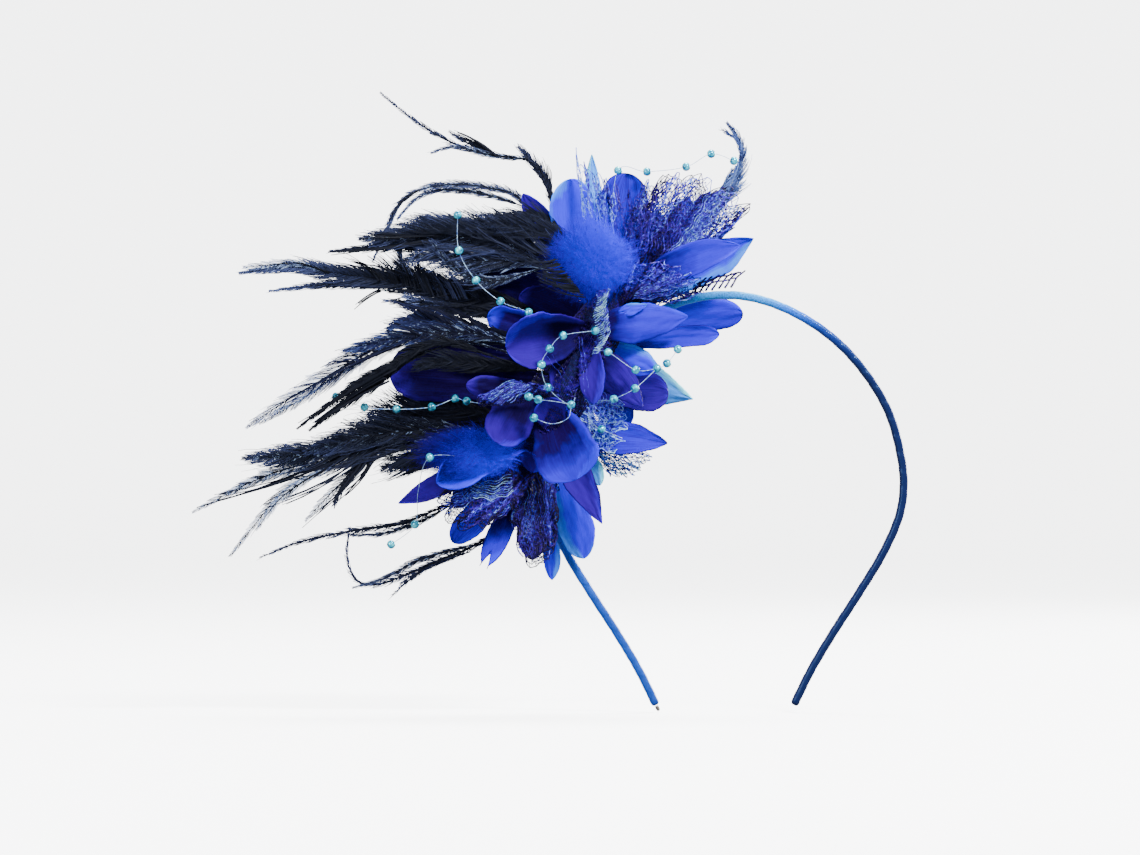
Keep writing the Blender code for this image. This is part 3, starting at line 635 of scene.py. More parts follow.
def petal_surface(row):
    """The bent cloth of one petal, as a function of the places on its grid."""
    name, cloth, root, tip, y0, y1, half, widest, point, cup, bend, bow, roll = row
    a, b = place(root, y0), place(tip, y1)
    run = unit(b - a)
    flat = unit(np.array([run[0], 0, run[2]]))
    side = np.array([-flat[2], 0, flat[0]])
    face = unit(np.cross(side, run))
    if face[1] > 0:
        face = -face
    random.seed(name)
    phase = random.uniform(0, FULL_TURN)
    wild = [random.uniform(0, FULL_TURN) for _ in range(8)]
    lit_side, curl = LOOKS[name][1], LOOKS[name][3]

    def surface(s, w):
        u = crowded(s)
        v = 2 * w - 1
        arch = 4 * u * (1 - u)
        spread = np.maximum(half * petal_outline(u, widest, point), 0.12)
        if name == "two_points":
            # this tip is cut in two points
            u = u - 0.09 * s ** 6 * (1 - np.abs(v)) * 2
            spread = np.maximum(spread, 1.6 * s)
        # the cut edge is never quite even
        spread = spread * (1 + 0.03 * np.sin(17 * u + wild[0]) * v
                           + 0.02 * np.sin(31 * u + wild[1])
                           + 0.012 * np.sin(97 * u + wild[2]))
        turn = math.radians(roll) * u
        out = side * np.cos(turn)[:, None] + face * np.sin(turn)[:, None]
        up = face * np.cos(turn)[:, None] - side * np.sin(turn)[:, None]
        lift = -cup * (spread / half) * v * v + 0.25 * np.sin(5 * u + phase) * v
        # a pressed middle rib
        lift = lift - 0.35 * np.exp(-(v / 0.09) ** 2) * (1 - u)
        # one side curls forward, except near the root and the tip
        curled = smooth_step(3 * u) * smooth_step(4 * (1 - u))
        lift = lift + curl * np.clip(lit_side * v, 0, 1) ** 2.2 * curled
        # waves at the edge, and a soft crumple all over
        waves = np.sin(12 * u + wild[3] + 2 * np.sign(v))
        lift = lift + 0.40 * waves * np.abs(v) ** 3 * np.minimum(2 * u, 1)
        lift = lift + 0.22 * np.sin(9 * u + 3 * v + wild[4]) * np.sin(5 * v + wild[5])
        lift = lift + 0.10 * np.sin(23 * u + 7 * v + wild[6]) * np.sin(19 * v - 5 * u + wild[7])
        middle = a + (b - a) * u[:, None] + side * (bend * arch)[:, None]
        middle = middle + np.array([0, 1, 0]) * (bow * arch)[:, None]
        return splayed(middle + out * (spread * v)[:, None] + up * lift[:, None])

    return surface


def grid_places(along, across):
    """Where each point of a grid lies along and across it, in the order of its points."""
    w, u = np.meshgrid(np.linspace(0, 1, across + 1), np.linspace(0, 1, along + 1), indexing="ij")
    return u.reshape(-1), w.reshape(-1)


# %% Making a petal
# the steps of a grid along and across a petal, fewer where the petal is mostly hidden
PETAL_STEPS = (44, 16)
HIDDEN_PETAL_STEPS = (32, 12)
CLOTH_THICKNESS = 0.28
# a cut piece is at least this wide, in mm, and longer than what shows by the part in the base
LEAST_CUT = 10.5
# some petals were cut from another piece of cloth than their neighbours
OTHER_CLOTH = {"pointed_right": "petal_royal", "ruffle_carrier": "petal_indigo",
               "front_middle": "petal_indigo", "upper_right": "petal_royal",
               "upper_right_pale": "petal_sky", "scrap": "petal_sky"}


def make_petal(row, steps):
    """One petal of cloth with its dye, its painted shade and light, and its veins, named for its row
    in the table.
    """
    name, slot, root, tip, y0, y1, half = row[:7]
    cloth = PETAL_CLOTHS[OTHER_CLOTH.get(name, slot)]
    petal = grid_piece("cloth_" + name, *steps, petal_surface(row), cloth, CLOTH_THICKNESS)
    s, w = grid_places(*steps)
    dark, lit_side, lit = LOOKS[name][:3]
    cut_edge = DARKER_CUT_EDGE if name in DARK_EDGED else 1
    level = dye_level(crowded(s), 2 * w - 1, dark, lit_side, lit, LIT_RIMS.get(name, 0), cut_edge)
    shade(petal, "dye_and_painted_light", level)
    shade(petal, "veins", np.full(len(s), CLEAR_VEINS if name in VEINED else FAINT_VEINS))
    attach(petal, "root")
    return petal


# %% Petals
# Some petals lie deep in the corsage or behind its net, and are made only here. Many of them are dark
# backing put behind the net and into gaps: painted shade, where the corsage shows only shade.
HIDDEN_PETALS = [
    ("dark_upper", "petal_indigo", (-52.2, -0.2), (-94.3, 12.1), -6.5, -6.0,
     10.4, 0.62, 0.1, -1.4, 1.5, 0.0, 6),
    ("behind_fan", "petal_indigo", (-20.5, 14.9), (-5.0, 38.7), 0.6, 0.8,
     3.4, 0.7, 0.3, 0.3, 0.0, 0.0, 0),
    ("inner_lobe", "petal_indigo", (-60.1, -48.4), (-64.4, -35.8), -16.5, -24.5,
     5.6, 0.72, 0.0, -1.0, 0.0, 0.0, 0),
    ("pale_sliver", "petal_pale", (-53.6, -47.0), (-45.0, -66.8), -8.4, -9.4,
     3.4, 0.7, 0.3, 0.4, 0.0, 0.0, 0),
    ("inner_dark", "petal_indigo", (-47.9, -11.0), (-60.8, -33.3), -19.0, -21.5,
     6.4, 0.6, 0.2, -1.0, 0.0, 0.0, 0),
    ("low_dark", "petal_indigo", (-70.2, -50.6), (-77.8, -82.3), -2.5, -2.5,
     5.2, 0.7, 0.1, -0.6, 0.0, 0.0, 0),
    ("fan_middle", "petal_royal", (-26.3, 9.9), (-12.6, 37.3), 0.9, 1.1,
     4.6, 0.6, 0.3, 0.3, 0.0, 0.0, 0),
    ("fan_back", "petal_indigo", (-40.7, -1.6), (-23.4, 31.5), 0.4, 0.6,
     6.4, 0.66, 0.3, 0.3, 0.0, 0.0, 0),
    ("hanging_back", "petal_indigo", (-67.3, -52.7), (-69.5, -93.8), -1.0, -1.0,
     6.2, 0.72, 0.2, 0.3, 0.0, 0.0, 0),
    ("left_back", "petal_indigo", (-68.8, -50.6), (-98.3, -74.3), -2.0, -2.0,
     5.6, 0.66, 0.3, 0.3, 0.0, 0.0, 0),
    ("behind_curl", "petal_indigo", (-44.3, -11.0), (-73.8, 1.3), -7.0, -8.0,
     7.6, 0.6, 0.1, 0.4, 0.0, 0.0, 0),
    ("violet_left", "petal_indigo", (-70.2, -19.6), (-112.7, -11.7), -13.6, -13.8,
     6.8, 0.62, 0.3, 0.4, 0.0, 0.0, 0),
    ("behind_round", "petal_indigo", (-63.0, -41.9), (-102.6, -41.2), -3.0, -3.2,
     9.6, 0.6, 0.1, 0.3, 0.0, 0.0, 0),
    ("broad_root", "petal_indigo", (-65.9, -36.9), (-69.1, -62.1), -14.0, -15.0,
     6.4, 0.6, 0.2, 0.6, 0.0, 0.0, 0),
    ("behind_net", "petal_royal", (-52.9, -26.1), (-34.2, -44.8), -5.4, -5.6,
     6.4, 0.62, 0.1, 0.3, 0.0, 0.0, 0),
    ("behind_middle", "petal_indigo", (-55.1, -30.4), (-47.9, -58.5), -8.0, -8.4,
     5.4, 0.6, 0.2, 0.3, 0.0, 0.0, 0),
    ("dark_gap", "petal_indigo", (-60.8, -16.7), (-86.0, -14.6), 0.6, 0.6,
     9.0, 0.55, 0.1, 0.3, 0.0, 0.0, 0),
    ("scrap", "petal_pale", (-38.5, -5.2), (-28.4, -2.3), -17.0, -15.8,
     2.3, 0.4, 0.9, 0.0, 0.0, 0.0, 0),
]

# Some petals are wider, slimmer or placed a little differently than their solids.
RESHAPED = {
    "lobe_right": {"half_width": 6.8},
    "pale_point": {"half_width": 8.2, "widest_at": 0.56},
    "top_left": {"tip": (-55.8, 43.0), "half_width": 8.0},
    "top_middle": {"tip": (-35.3, 45.5), "half_width": 9.0},
    "curled_left": {"root": (-48.6, -11.3), "tip": (-78.5, -17.8)},
    "lower_narrow": {"half_width": 3.2, "widest_at": 0.86, "point": 0.40},
    "pointed_right": {"roll": -14},
    "broad_lower": {"root": (-64.8, -35.5), "tip": (-53.6, -64.6), "half_width": 11.6,
                    "widest_at": 0.76},
    "ruffle_carrier": {"root": (-70.2, -31.1), "tip": (-81.4, -51.7), "half_width": 8.2},
    "top_spike": {"half_width": 4.0, "widest_at": 0.62},
    "upper_right_pale": {"root": (-37.8, -4.1), "tip": (10.4, 22.1), "half_width": 6.6},
    "under_band_long": {"root": (-49.3, -14.6), "tip": (6.8, -4.5), "half_width": 5.7,
                        "widest_at": 0.82},
}

petals = [make_petal(row, HIDDEN_PETAL_STEPS) for row in HIDDEN_PETALS]
for row in PETALS:
    changed = RESHAPED.get(row[0], {})
    row = tuple(changed.get(column, value) for column, value in zip(PETAL_COLUMNS, row))
    petal = make_petal(row, PETAL_STEPS)
    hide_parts("petal_" + row[0])
    petals.append(petal)
print("petals:", len(petals), "cloth area in cm2:", round(sum(area_of(p) for p in petals) * 1e4, 1))

# %% [markdown]
# ## Strands
# Folded threads, feather barbs and down are all bundles of thin strips. Hundreds of curves with a
# thickness would be heavy to bake, so each bundle is one grid that has lost every second row of
# its faces. Each strip that stays follows its own line and has its own tone.

# %% Strands
def strip_of(w, count):
    """The number of the strip that each point of a comb belongs to."""
    return np.minimum(np.round(w * (2 * count - 1)).astype(int) // 2, count - 1)


def strands(name, lines, thin, facing, level, fade, material):
    """One comb of strips that follow lines, each with its own tone."""
    count, samples = lines.shape[:2]
    flat = unit(np.cross(unit(np.gradient(lines, axis=1)), facing[:, None]))
    made = comb(name, splayed(lines), flat * thin[..., None], material)
    # the grid lost faces but no points, so its places still match
    u, w = grid_places(samples - 1, 2 * count - 1)
    shade(made, "dye_and_painted_light", np.clip(np.asarray(level)[strip_of(w, count)] + fade * u ** 1.5, -0.2, 1))
    stretch_map(made, 0.5, 3.0 * count)
    return made


# %% [markdown]
# ## Net
# The ruffles are strips of stiff fine net. Each hexagon of the net is real here, because the
# picture shows single threads against the light. A grid of squares turns into hexagons when
# every second upright is dissolved in each row, which leaves bricks, and each brick is then
# pulled to six even sides. The Wireframe modifier turns its edges to threads.

# %% Net thread
def net_thread(name, dark, blue, light, painted_glint):
    """Thread coloured from painted shade at the gathering to painted glints in patches, where it
    would catch the lamps.
    """
    made, tree, shader = finish(name, blue, 0.45)
    shader.inputs["Specular IOR Level"].default_value = 0.2
    patches = clouds(tree, object_map(tree, 820), 2.0, 0.7)
    # the sum runs past 1, where a ramp ends, so it is scaled down to fit
    level = times(tree, times_plus(tree, patches.outputs["Fac"], 2.2, attribute(tree, "dye_and_painted_light")), 0.42)
    colour = ramp(tree, level, (0.38, dark), (0.56, blue), (0.70, light), (0.84, painted_glint))
    tree.links.new(colour, shader.inputs["Base Color"])
    return made


NET_THREADS = {
    "blue": net_thread("net_blue", (0.006, 0.002, 0.035), (0.040, 0.001, 0.30),
                       (0.07, 0.05, 0.85), (0.28, 0.48, 1.0)),
    "light": net_thread("net_light", (0.008, 0.002, 0.06), (0.050, 0.006, 0.52),
                        (0.12, 0.22, 1.0), (0.42, 0.74, 1.0)),
    "pale": net_thread("net_pale", (0.010, 0.004, 0.08), (0.06, 0.06, 0.75),
                       (0.30, 0.62, 1.0), (0.46, 0.92, 1.0)),
}

# %% The net tables
# Name, gathered line, free edge, depth at the gathering and at the edge, ruffles, how deep they
# are, and how ragged the edge is.
NETS = [
    ("fan", [(-45.0, -2.3), (-38.9, 1.3), (-32.8, -0.9)],
     [(-29.5, 40.9), (-12.6, 43.0), (5.8, 34.0), (-1.1, 22.1)],
     -4.4, -5.2, 3.0, 1.7, 2.4),
    ("spikes", [(-47.9, -4.5), (-45.0, -2.0), (-42.1, -3.1)],
     [(-53.3, 49.5), (-48.6, 44.5), (-44.3, 41.6), (-40.0, 32.9)],
     -10.0, -10.5, 2.5, 1.2, 3.2),
    ("gather_right", [(-40.7, -0.2), (-38.5, -2.7), (-38.5, -5.2)],
     [(-23.4, 14.2), (-10.4, 8.5), (-9.4, 1.3)],
     -7.4, -6.4, 2.5, 1.0, 1.2),
    ("ribbon", [(-48.2, -18.5), (-46.4, -10.3), (-47.9, -2.7), (-46.4, 2.3)],
     [(-45.0, -18.5), (-41.8, -10.6), (-42.8, -2.7), (-41.4, 3.1)],
     -22.0, -24.5, 2.0, 1.4, 0.0),
    ("on_petal", [(-62.3, -34.7), (-73.8, -37.3), (-87.5, -38.7)],
     [(-61.9, -31.9), (-73.8, -30.4), (-88.9, -35.1)],
     -25.0, -28.0, 2.5, 1.0, 0.4),
    ("middle", [(-57.2, -35.5), (-55.1, -44.8), (-52.2, -52.7)],
     [(-37.1, -36.9), (-36.4, -44.8), (-41.4, -54.9)],
     -12.6, -13.0, 2.5, 0.9, 1.2),
    ("lower_left", [(-73.8, -49.9), (-70.9, -54.9), (-66.6, -59.9)],
     [(-103.3, -67.1), (-100.4, -80.8), (-86.8, -82.6), (-76.3, -74.0)],
     -13.6, -15.0, 3.5, 1.4, 1.4),
    ("hanging", [(-70.2, -53.5), (-67.3, -56.3), (-63.7, -54.9)],
     [(-76.7, -80.1), (-70.9, -95.9), (-61.9, -92.3), (-60.8, -67.1)],
     -11.2, -11.4, 3.0, 0.9, 1.2),
]
# Nets that no solid stands for
LOOSE_NETS = [
    ("end_ruffle", [(-50.0, -49.9), (-47.9, -52.7), (-45.7, -55.6)],
     [(-26.3, -56.0), (-32.8, -62.1), (-42.1, -62.8)],
     -6.4, -6.4, 3.5, 0.9, 1.0),
    ("front_right", [(-37.8, -2.3), (-35.6, -0.2), (-32.8, 1.3)],
     [(-32.0, 13.5), (-19.1, 11.7), (-11.2, 5.6)],
     -13.6, -14.4, 3.0, 0.9, 1.4),
    ("over_middle", [(-40.7, 13.5), (-34.9, 14.9), (-29.9, 12.1)],
     [(-47.9, 40.9), (-38.5, 37.3), (-26.3, 30.8)],
     -9.6, -10.4, 3.0, 1.2, 3.0),
]
# For each net: kind of thread, side and thread of a hexagon in mm, open layers in front, denser
# layers behind, how far the painted shade reaches, and the number and lean of its sharp folds.
NET_LOOKS = {
    "fan": ("light", 1.3, 0.42, 3, 1, 0.56, 0, 0),
    "spikes": ("light", 1.3, 0.36, 1, 0, 0.1, 0, 0),
    "gather_right": ("blue", 1.5, 0.46, 1, 1, 0.45, 7, 0.6),
    "ribbon": ("blue", 0.85, 0.3, 1, 1, -0.2, 9, 1.6),
    "on_petal": ("blue", 0.9, 0.3, 1, 1, 0.2, 11, 1.8),
    "middle": ("light", 1.3, 0.4, 2, 1, 0.0, 0, 0),
    "lower_left": ("blue", 1.2, 0.36, 2, 1, 0.45, 5, 1.4),
    "hanging": ("blue", 1.2, 0.36, 2, 1, 0.45, 4, 0.5),
    "end_ruffle": ("pale", 1.3, 0.4, 2, 0, 0.0, 6, 0),
    "front_right": ("blue", 1.5, 0.46, 1, 1, 0.25, 6, 0.7),
    "over_middle": ("blue", 1.3, 0.34, 1, 0, 0.0, 0, 0),
}
# side and thread of the layers behind, and how much lighter they are than usual
BACKING = {"gather_right": (0.75, 0.46, 0.34), "front_right": (0.75, 0.46, 0.42),
           "hanging": (0.85, 0.50, 0.0), "fan": (1.0, 0.50, 0.0), "lower_left": (0.9, 0.50, 0.0)}
USUAL_BACKING = (0.80, 0.38, 0.0)
# how much darker the free edge is, and how much lighter the whole net
EDGE_SHADE = {"fan": 0.55, "hanging": 0.8, "lower_left": 0.6, "over_middle": 0.3, "spikes": 0.2}
NET_LIFTS = {"ribbon": -0.30, "middle": 0.14, "hanging": -0.10, "lower_left": -0.12,
             "over_middle": -0.40, "on_petal": -0.28, "front_right": -0.34, "gather_right": -0.28}
# how far the layers reach from the gathering toward the free edge
FRONT_REACH = {"hanging": 0.94, "lower_left": 0.91}
BACK_REACH = {"hanging": 0.98, "lower_left": 0.96, "fan": 0.84}
USUAL_BACK_REACH = 0.88
# narrow strips are less crumpled than wide ones
NARROW_NETS = ("ribbon", "on_petal")

# %% A hexagon net
# Six equal sides need a cell this wide and high, counted in sides, and joints moved by this much
# of a row.
CELL_WIDE = 0.87
CELL_HIGH = 1.5
JOINT_SHIFT = 0.17


def hexagon_net(name, columns, rows, surface, material, thread, tone):
    """A brick-patterned grid bent over surface(u, w), its bricks pulled to hexagons."""
    shape = bmesh.new()
    bmesh.ops.create_grid(shape, x_segments=columns, y_segments=rows, size=0.5)
    drop = []
    for edge in shape.edges:
        a, b = edge.verts
        if abs(a.co.x - b.co.x) < 1e-6 and len(edge.link_faces) == 2:
            column = round((a.co.x + 0.5) * columns)
            line = round((min(a.co.y, b.co.y) + 0.5) * rows)
            if (column + line) % 2:
                drop.append(edge)
    bmesh.ops.dissolve_edges(shape, edges=drop, use_verts=False)
    for v in shape.verts:
        column = round((v.co.x + 0.5) * columns)
        line = round((v.co.y + 0.5) * rows)
        v.co.y += (JOINT_SHIFT if (column + line) % 2 else -JOINT_SHIFT) / rows
    made = finished(name, shape, material, smooth=False)
    u, w = (np.clip(spots, 0, 1) for spots in grid_spots(made))
    made.data.vertices.foreach_set("co", (surface(u, w) * MM).reshape(-1))
    made.data.update()
    shade(made, "dye_and_painted_light", tone(u, w))
    threads = made.modifiers.new("threads", "WIREFRAME")
    threads.thickness = thread * MM
    threads.use_even_offset = False
    threads.use_boundary = True
    return made


def net_surface(row, layer, reach, folds, lean):
    """One layer of ruffled net, hung between its gathered line and its free edge."""
    name, gathered, free, y0, y1, ruffles, deep, rag = row
    inner = smooth_way([place(p, y0) for p in gathered])
    outer = smooth_way([place(p, y1) for p in free])
    random.seed(name + str(layer))
    wild = [random.uniform(0, FULL_TURN) for _ in range(6)]
    slip = 0.45 * deep * (layer - 1)
    loose = 0.35 if name in NARROW_NETS else 1.0

    def surface(u, w):
        w = w * reach
        a, b = along_way(inner, u), along_way(outer, u)
        ragged = rag * np.sin(2 * np.pi * ruffles * u * 1.7 + 1.0 + 0.8 * layer) * w ** 3
        ragged = ragged + 0.5 * rag * np.sin(61 * u + wild[0]) * w ** 4 - min(0.8 * layer, 1.2) * w
        wave = deep * np.sin(2 * np.pi * ruffles * u + 0.6 + 0.9 * layer) * w
        fine = 0.5 * deep * np.sin(2 * np.pi * ruffles * 2.7 * u + 3 * w + wild[1]) * w
        p = a + (b - a) * w[:, None] + unit(b - a) * ragged[:, None]
        sharp = 0.55 * np.abs(np.sin(math.pi * (folds * u + lean * w))) * np.minimum(3 * w, 1)
        p[:, 1] += wave + fine + slip * w - sharp * (folds > 0)
        # the gathers run along the net and shift its cells sideways as they fold
        slide = np.stack([np.sin(2 * np.pi * ruffles * 1.9 * u + 5 * w + wild[2]),
                          np.sin(14 * w + 9 * u + wild[3])], -1)
        p[:, 0] += loose * (0.9 * slide[:, 0] * w + 0.45 * np.sin(31 * w + 23 * u + wild[4]))
        p[:, 2] += loose * (0.7 * slide[:, 1] * w + 0.45 * np.sin(37 * u + 29 * w + wild[5]))
        return splayed(p)

    return surface


def net_tone(row, layer, fronts, dark, folds, lean):
    """Painted shade and light: dark at the gathering, in the valleys and on the layers behind, light
    on the crests.
    """
    name, ruffles = row[0], row[5]
    lift = NET_LIFTS.get(name, 0)
    if layer == 0:
        lift += 0.02
    elif layer < fronts:
        lift += -0.14
    else:
        lift += -0.26 - 0.10 * (layer - fronts) + BACKING.get(name, USUAL_BACKING)[2]
    shaded = EDGE_SHADE.get(name, 0) * (0.4 if layer == 0 else 1)

    def tone(u, w):
        crest = np.sin(2 * np.pi * ruffles * u + 0.6 + 0.9 * layer)
        crest = crest + 0.6 * np.sin(2 * np.pi * ruffles * 2.7 * u + 3 * w)
        level = 0.62 * smooth_step((w - dark + 0.3) / 0.7) - 0.08 + lift
        level = level + 0.13 * crest * smooth_step(2 * w)
        level = level - shaded * smooth_step((w - 0.72) / 0.28)
        # painted light on the crests of sharp folds, and painted shade between them
        if folds and layer < fronts:
            level = level + 0.62 * np.abs(np.sin(math.pi * (folds * u + lean * w))) ** 4 - 0.26
        return level

    return tone


# %% Nets
MEASURES = 60


def way_length(points):
    """The length of a sampled line."""
    return np.linalg.norm(np.diff(points, axis=0), axis=1).sum()


for row in NETS + LOOSE_NETS:
    name = row[0]
    thread_kind, front_side, front_thread, fronts, backs, dark, folds, lean = NET_LOOKS[name]
    share = []
    for layer in range(fronts + backs):
        if layer < fronts:
            side, thread, reach = front_side, front_thread, FRONT_REACH.get(name, 1.0)
        else:
            side, thread = BACKING.get(name, USUAL_BACKING)[:2]
            reach = BACK_REACH.get(name, USUAL_BACK_REACH)
        surface = net_surface(row, layer, reach, folds, lean)
        ends = np.linspace(0, 1, MEASURES)
        wide = way_length(surface(ends, np.full(MEASURES, 0.85)))
        deep = way_length(surface(np.full(MEASURES, 0.5), ends))
        columns = int(wide / (side * CELL_WIDE))
        rows = int(deep / (side * CELL_HIGH))
        net = hexagon_net("mesh_%s_%d" % (name, layer + 1), columns, rows, surface,
                          NET_THREADS["blue" if layer else thread_kind], thread,
                          net_tone(row, layer, fronts, dark, folds, lean))
        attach(net, "root")
        if layer == 0 and row in NETS:
            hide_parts("net_" + name)
        # the flat strip is as long as all its cells, and its holes aren't cloth
        cut = (max(columns * side * CELL_WIDE, LEAST_CUT) * MM,
               max(rows * side * CELL_HIGH, LEAST_CUT) * MM)
        whole = cut[0] * cut[1]
        threads = thread_area(net)
        share.append(round(threads / whole, 2))
    print(name, "net:", columns, "by", rows, "cells, threads over the whole:", share)

# %% [markdown]
# ### Edges of folds
# Where the net is folded tight, its threads lie on each other in lines, and most are coloured
# light: a painted highlight along the folds. The lines follow the folds: slanted round the
# twisted strip, and nearly parallel along the gathers.

# %% Lines of folded net
# Net, depth, places of the starts from and to, of the ends from and to, bow, wave, waves, lines,
# tone, kind
FOLD_LINES = [
    ("ribbon", -26.2, (-42.1, 3.4), (-42.8, -3.1), (-46.1, -0.2), (-47.5, -7.4),
     0.5, 0.22, 1.3, 10, 0.62, "pale"),
    ("ribbon", -26.2, (-42.8, -3.8), (-41.4, -11.0), (-47.2, -8.1), (-45.7, -15.3),
     0.6, 0.22, 1.3, 10, 0.56, "pale"),
    ("ribbon", -26.2, (-41.4, -11.7), (-44.6, -18.2), (-45.7, -16.0), (-48.2, -20.0),
     0.4, 0.22, 1.3, 9, 0.62, "pale"),
    ("on_petal", -29.6, (-86.8, -36.2), (-80.3, -38.0), (-75.6, -29.0), (-69.1, -31.5),
     0.9, 0.22, 1.6, 10, 0.34, "light"),
    ("on_petal", -29.8, (-85.3, -34.7), (-76.7, -37.3), (-73.1, -29.3), (-69.1, -32.2),
     0.6, 0.3, 1.9, 7, 0.4, "light"),
    ("lower_left", -17.0, (-92.5, -65.0), (-90.4, -70.7), (-76.7, -62.8), (-76.0, -69.3),
     -1.6, 0.45, 2.6, 9, 0.52, "light"),
    ("lower_left", -16.4, (-104.0, -71.5), (-101.2, -76.5), (-91.8, -65.7), (-88.9, -70.7),
     -1.0, 0.4, 2.2, 7, 0.4, "light"),
    ("hanging", -13.4, (-73.8, -61.4), (-62.6, -61.4), (-74.2, -79.4), (-63.4, -84.8),
     1.0, 0.6, 2.4, 13, 0.26, "light"),
    ("hanging", -13.2, (-75.2, -72.2), (-63.7, -74.0), (-73.4, -92.3), (-63.4, -93.8),
     -1.2, 0.6, 2.2, 12, -0.1, "blue"),
    ("front_right", -15.4, (-33.5, -0.2), (-30.6, 4.1), (-11.9, 6.3), (-20.5, 11.3),
     -2.2, 0.4, 3.0, 10, 0.24, "light"),
    ("gather_right", -9.0, (-30.6, -0.2), (-27.7, 7.0), (-11.2, 3.4), (-12.6, 11.3),
     -1.4, 0.5, 3.2, 13, 0.1, "light"),
    ("middle", -15.2, (-55.1, -31.9), (-45.7, -31.1), (-50.8, -43.4), (-39.2, -40.5),
     2.4, 0.55, 1.8, 9, 0.44, "light"),
    ("middle", -15.0, (-51.5, -41.2), (-47.2, -39.8), (-48.6, -53.5), (-42.1, -52.0),
     1.4, 0.5, 1.8, 8, 0.5, "light"),
    ("fan", -8.2, (-30.6, 15.7), (-17.6, 17.8), (-26.3, 40.9), (-11.2, 41.6),
     0.9, 0.5, 3.5, 12, 0.1, "blue"),
    ("fan", -8.0, (-20.5, 16.4), (-12.6, 20.0), (-6.8, 37.3), (6.1, 33.7),
     -0.9, 0.5, 3.5, 12, 0.44, "light"),
    ("gather_right", -8.4, (-11.2, 2.0), (1.8, 4.1), (-6.8, 7.7), (6.8, 10.3),
     0.5, 0.12, 1.4, 7, -0.4, "dark"),
    ("gather_right", -8.2, (-11.9, 3.4), (-10.4, 5.2), (4.0, 7.4), (5.8, 9.5),
     0.5, 0.2, 2.4, 2, -0.4, "dark"),
    ("gather_right", -8.6, (-32.0, -3.1), (-29.2, -0.9), (-9.7, 1.6), (-10.4, 3.4),
     0.8, 0.4, 3.4, 6, -0.2, "blue"),
    ("base", -28.0, (-64.4, -20.3), (-63.0, -19.3), (-55.1, -34.0), (-53.6, -32.6),
     0.3, 0.22, 2.6, 2, 0.26, "light"),
    ("base", -28.0, (-52.9, -13.9), (-51.8, -13.9), (-50.8, -33.3), (-49.3, -31.9),
     0.3, 0.22, 3.4, 2, 0.22, "light"),
]
FOLD_WIDTHS = {"pale": 0.14, "light": 0.13, "blue": 0.27, "dark": 0.80}
FOLD_SAMPLES = 18
FOLD_STRAY = 0.12
TO_VIEWER = np.array([0.0, -1.0, 0.0])


def between(first, last, share, depth):
    """Points at shares of the way from first to last, all at one depth."""
    return place(first, depth) * (1 - share) + place(last, depth) * share


for number, row in enumerate(FOLD_LINES):
    name, depth, a0, a1, b0, b1, bow, wave, waves, lines, tone, kind = row
    share = np.linspace(0, 1, lines)[:, None]
    rng = np.random.default_rng(500 + number)
    start = between(a0, a1, share, depth) + rng.normal(0, FOLD_STRAY, (lines, 3))
    end = between(b0, b1, share, depth) + rng.normal(0, FOLD_STRAY, (lines, 3))
    t = np.linspace(0, 1, FOLD_SAMPLES)[None, :, None]
    way = end - start
    across = unit(np.stack([-way[:, 2], np.zeros(lines), way[:, 0]], -1))[:, None]
    turn = 2 * np.pi * waves * t + 0.5 * np.arange(lines)[:, None, None]
    path = start[:, None] + way[:, None] * t
    path = path + across * (bow * np.sin(np.pi * t) + wave * np.sin(turn))
    path[..., 1] += 0.35 * np.sin(turn[..., 0] + 1.0)
    thin = np.full((lines, 1), FOLD_WIDTHS[kind]) * (1 - 0.3 * t[..., 0])
    level = tone + rng.normal(0, 0.15, lines)
    folds = strands("folds_%s_%d" % (name, number), path, thin, np.tile(TO_VIEWER, (lines, 1)),
                    level, 0.0, NET_THREADS["blue" if kind == "dark" else kind])
    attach(folds, "root")
print("lines of folded net:", sum(row[-3] for row in FOLD_LINES))

# %% [markdown]
# ### Net over the base
# Between the front petals the lump of glue and stems is hidden by crushed net, darkened with
# painted shade. It is the same net, laid over the front of the oval base, a little proud of it
# and crumpled.

# %% Net over the base
BASE_NET_CELLS = (56, 48)
BASE_NET_THREAD = 0.46
# the piece is rounded, and this many times smaller than the square it is cut from
SQUARE_TO_PIECE = 1.3
random.seed("base net 1")
crumple = [random.uniform(0, FULL_TURN) for _ in range(2)]


def on_base(x, y, z):
    """Places in the upright base, in mm, leaned and moved to where the base is."""
    c, s = math.cos(BASE_LEAN), math.sin(BASE_LEAN)
    return BASE_MIDDLE[0] + x * c + z * s, BASE_LEVEL + y, BASE_MIDDLE[1] + z * c - x * s


def base_net_surface(u, w):
    """The front of the oval, from side to side and from bottom to top."""
    turn = math.pi * (u * 1.1 - 0.05)
    rise = math.pi * (0.06 + 0.88 * w)
    proud = 2.3 + 0.7 * np.sin(11 * u + 7 * w + crumple[0])
    proud = proud + 0.5 * np.sin(19 * w - 13 * u + crumple[1])
    x = -(BASE_SEMI[0] + proud) * np.cos(turn) * np.sin(rise)
    y = -(BASE_SEMI[1] + proud) * np.sin(turn) * np.sin(rise)
    z = -(BASE_SEMI[2] + 0.3 * proud) * np.cos(rise)
    return np.stack(on_base(x, y, z), -1)


# painted shade: the net deep in the corsage gets a dark tone, in lighter and darker patches
def base_net_tone(u, w):
    return -0.20 + 0.25 * np.sin(9 * u + 13 * w) * np.sin(17 * w - 5 * u)


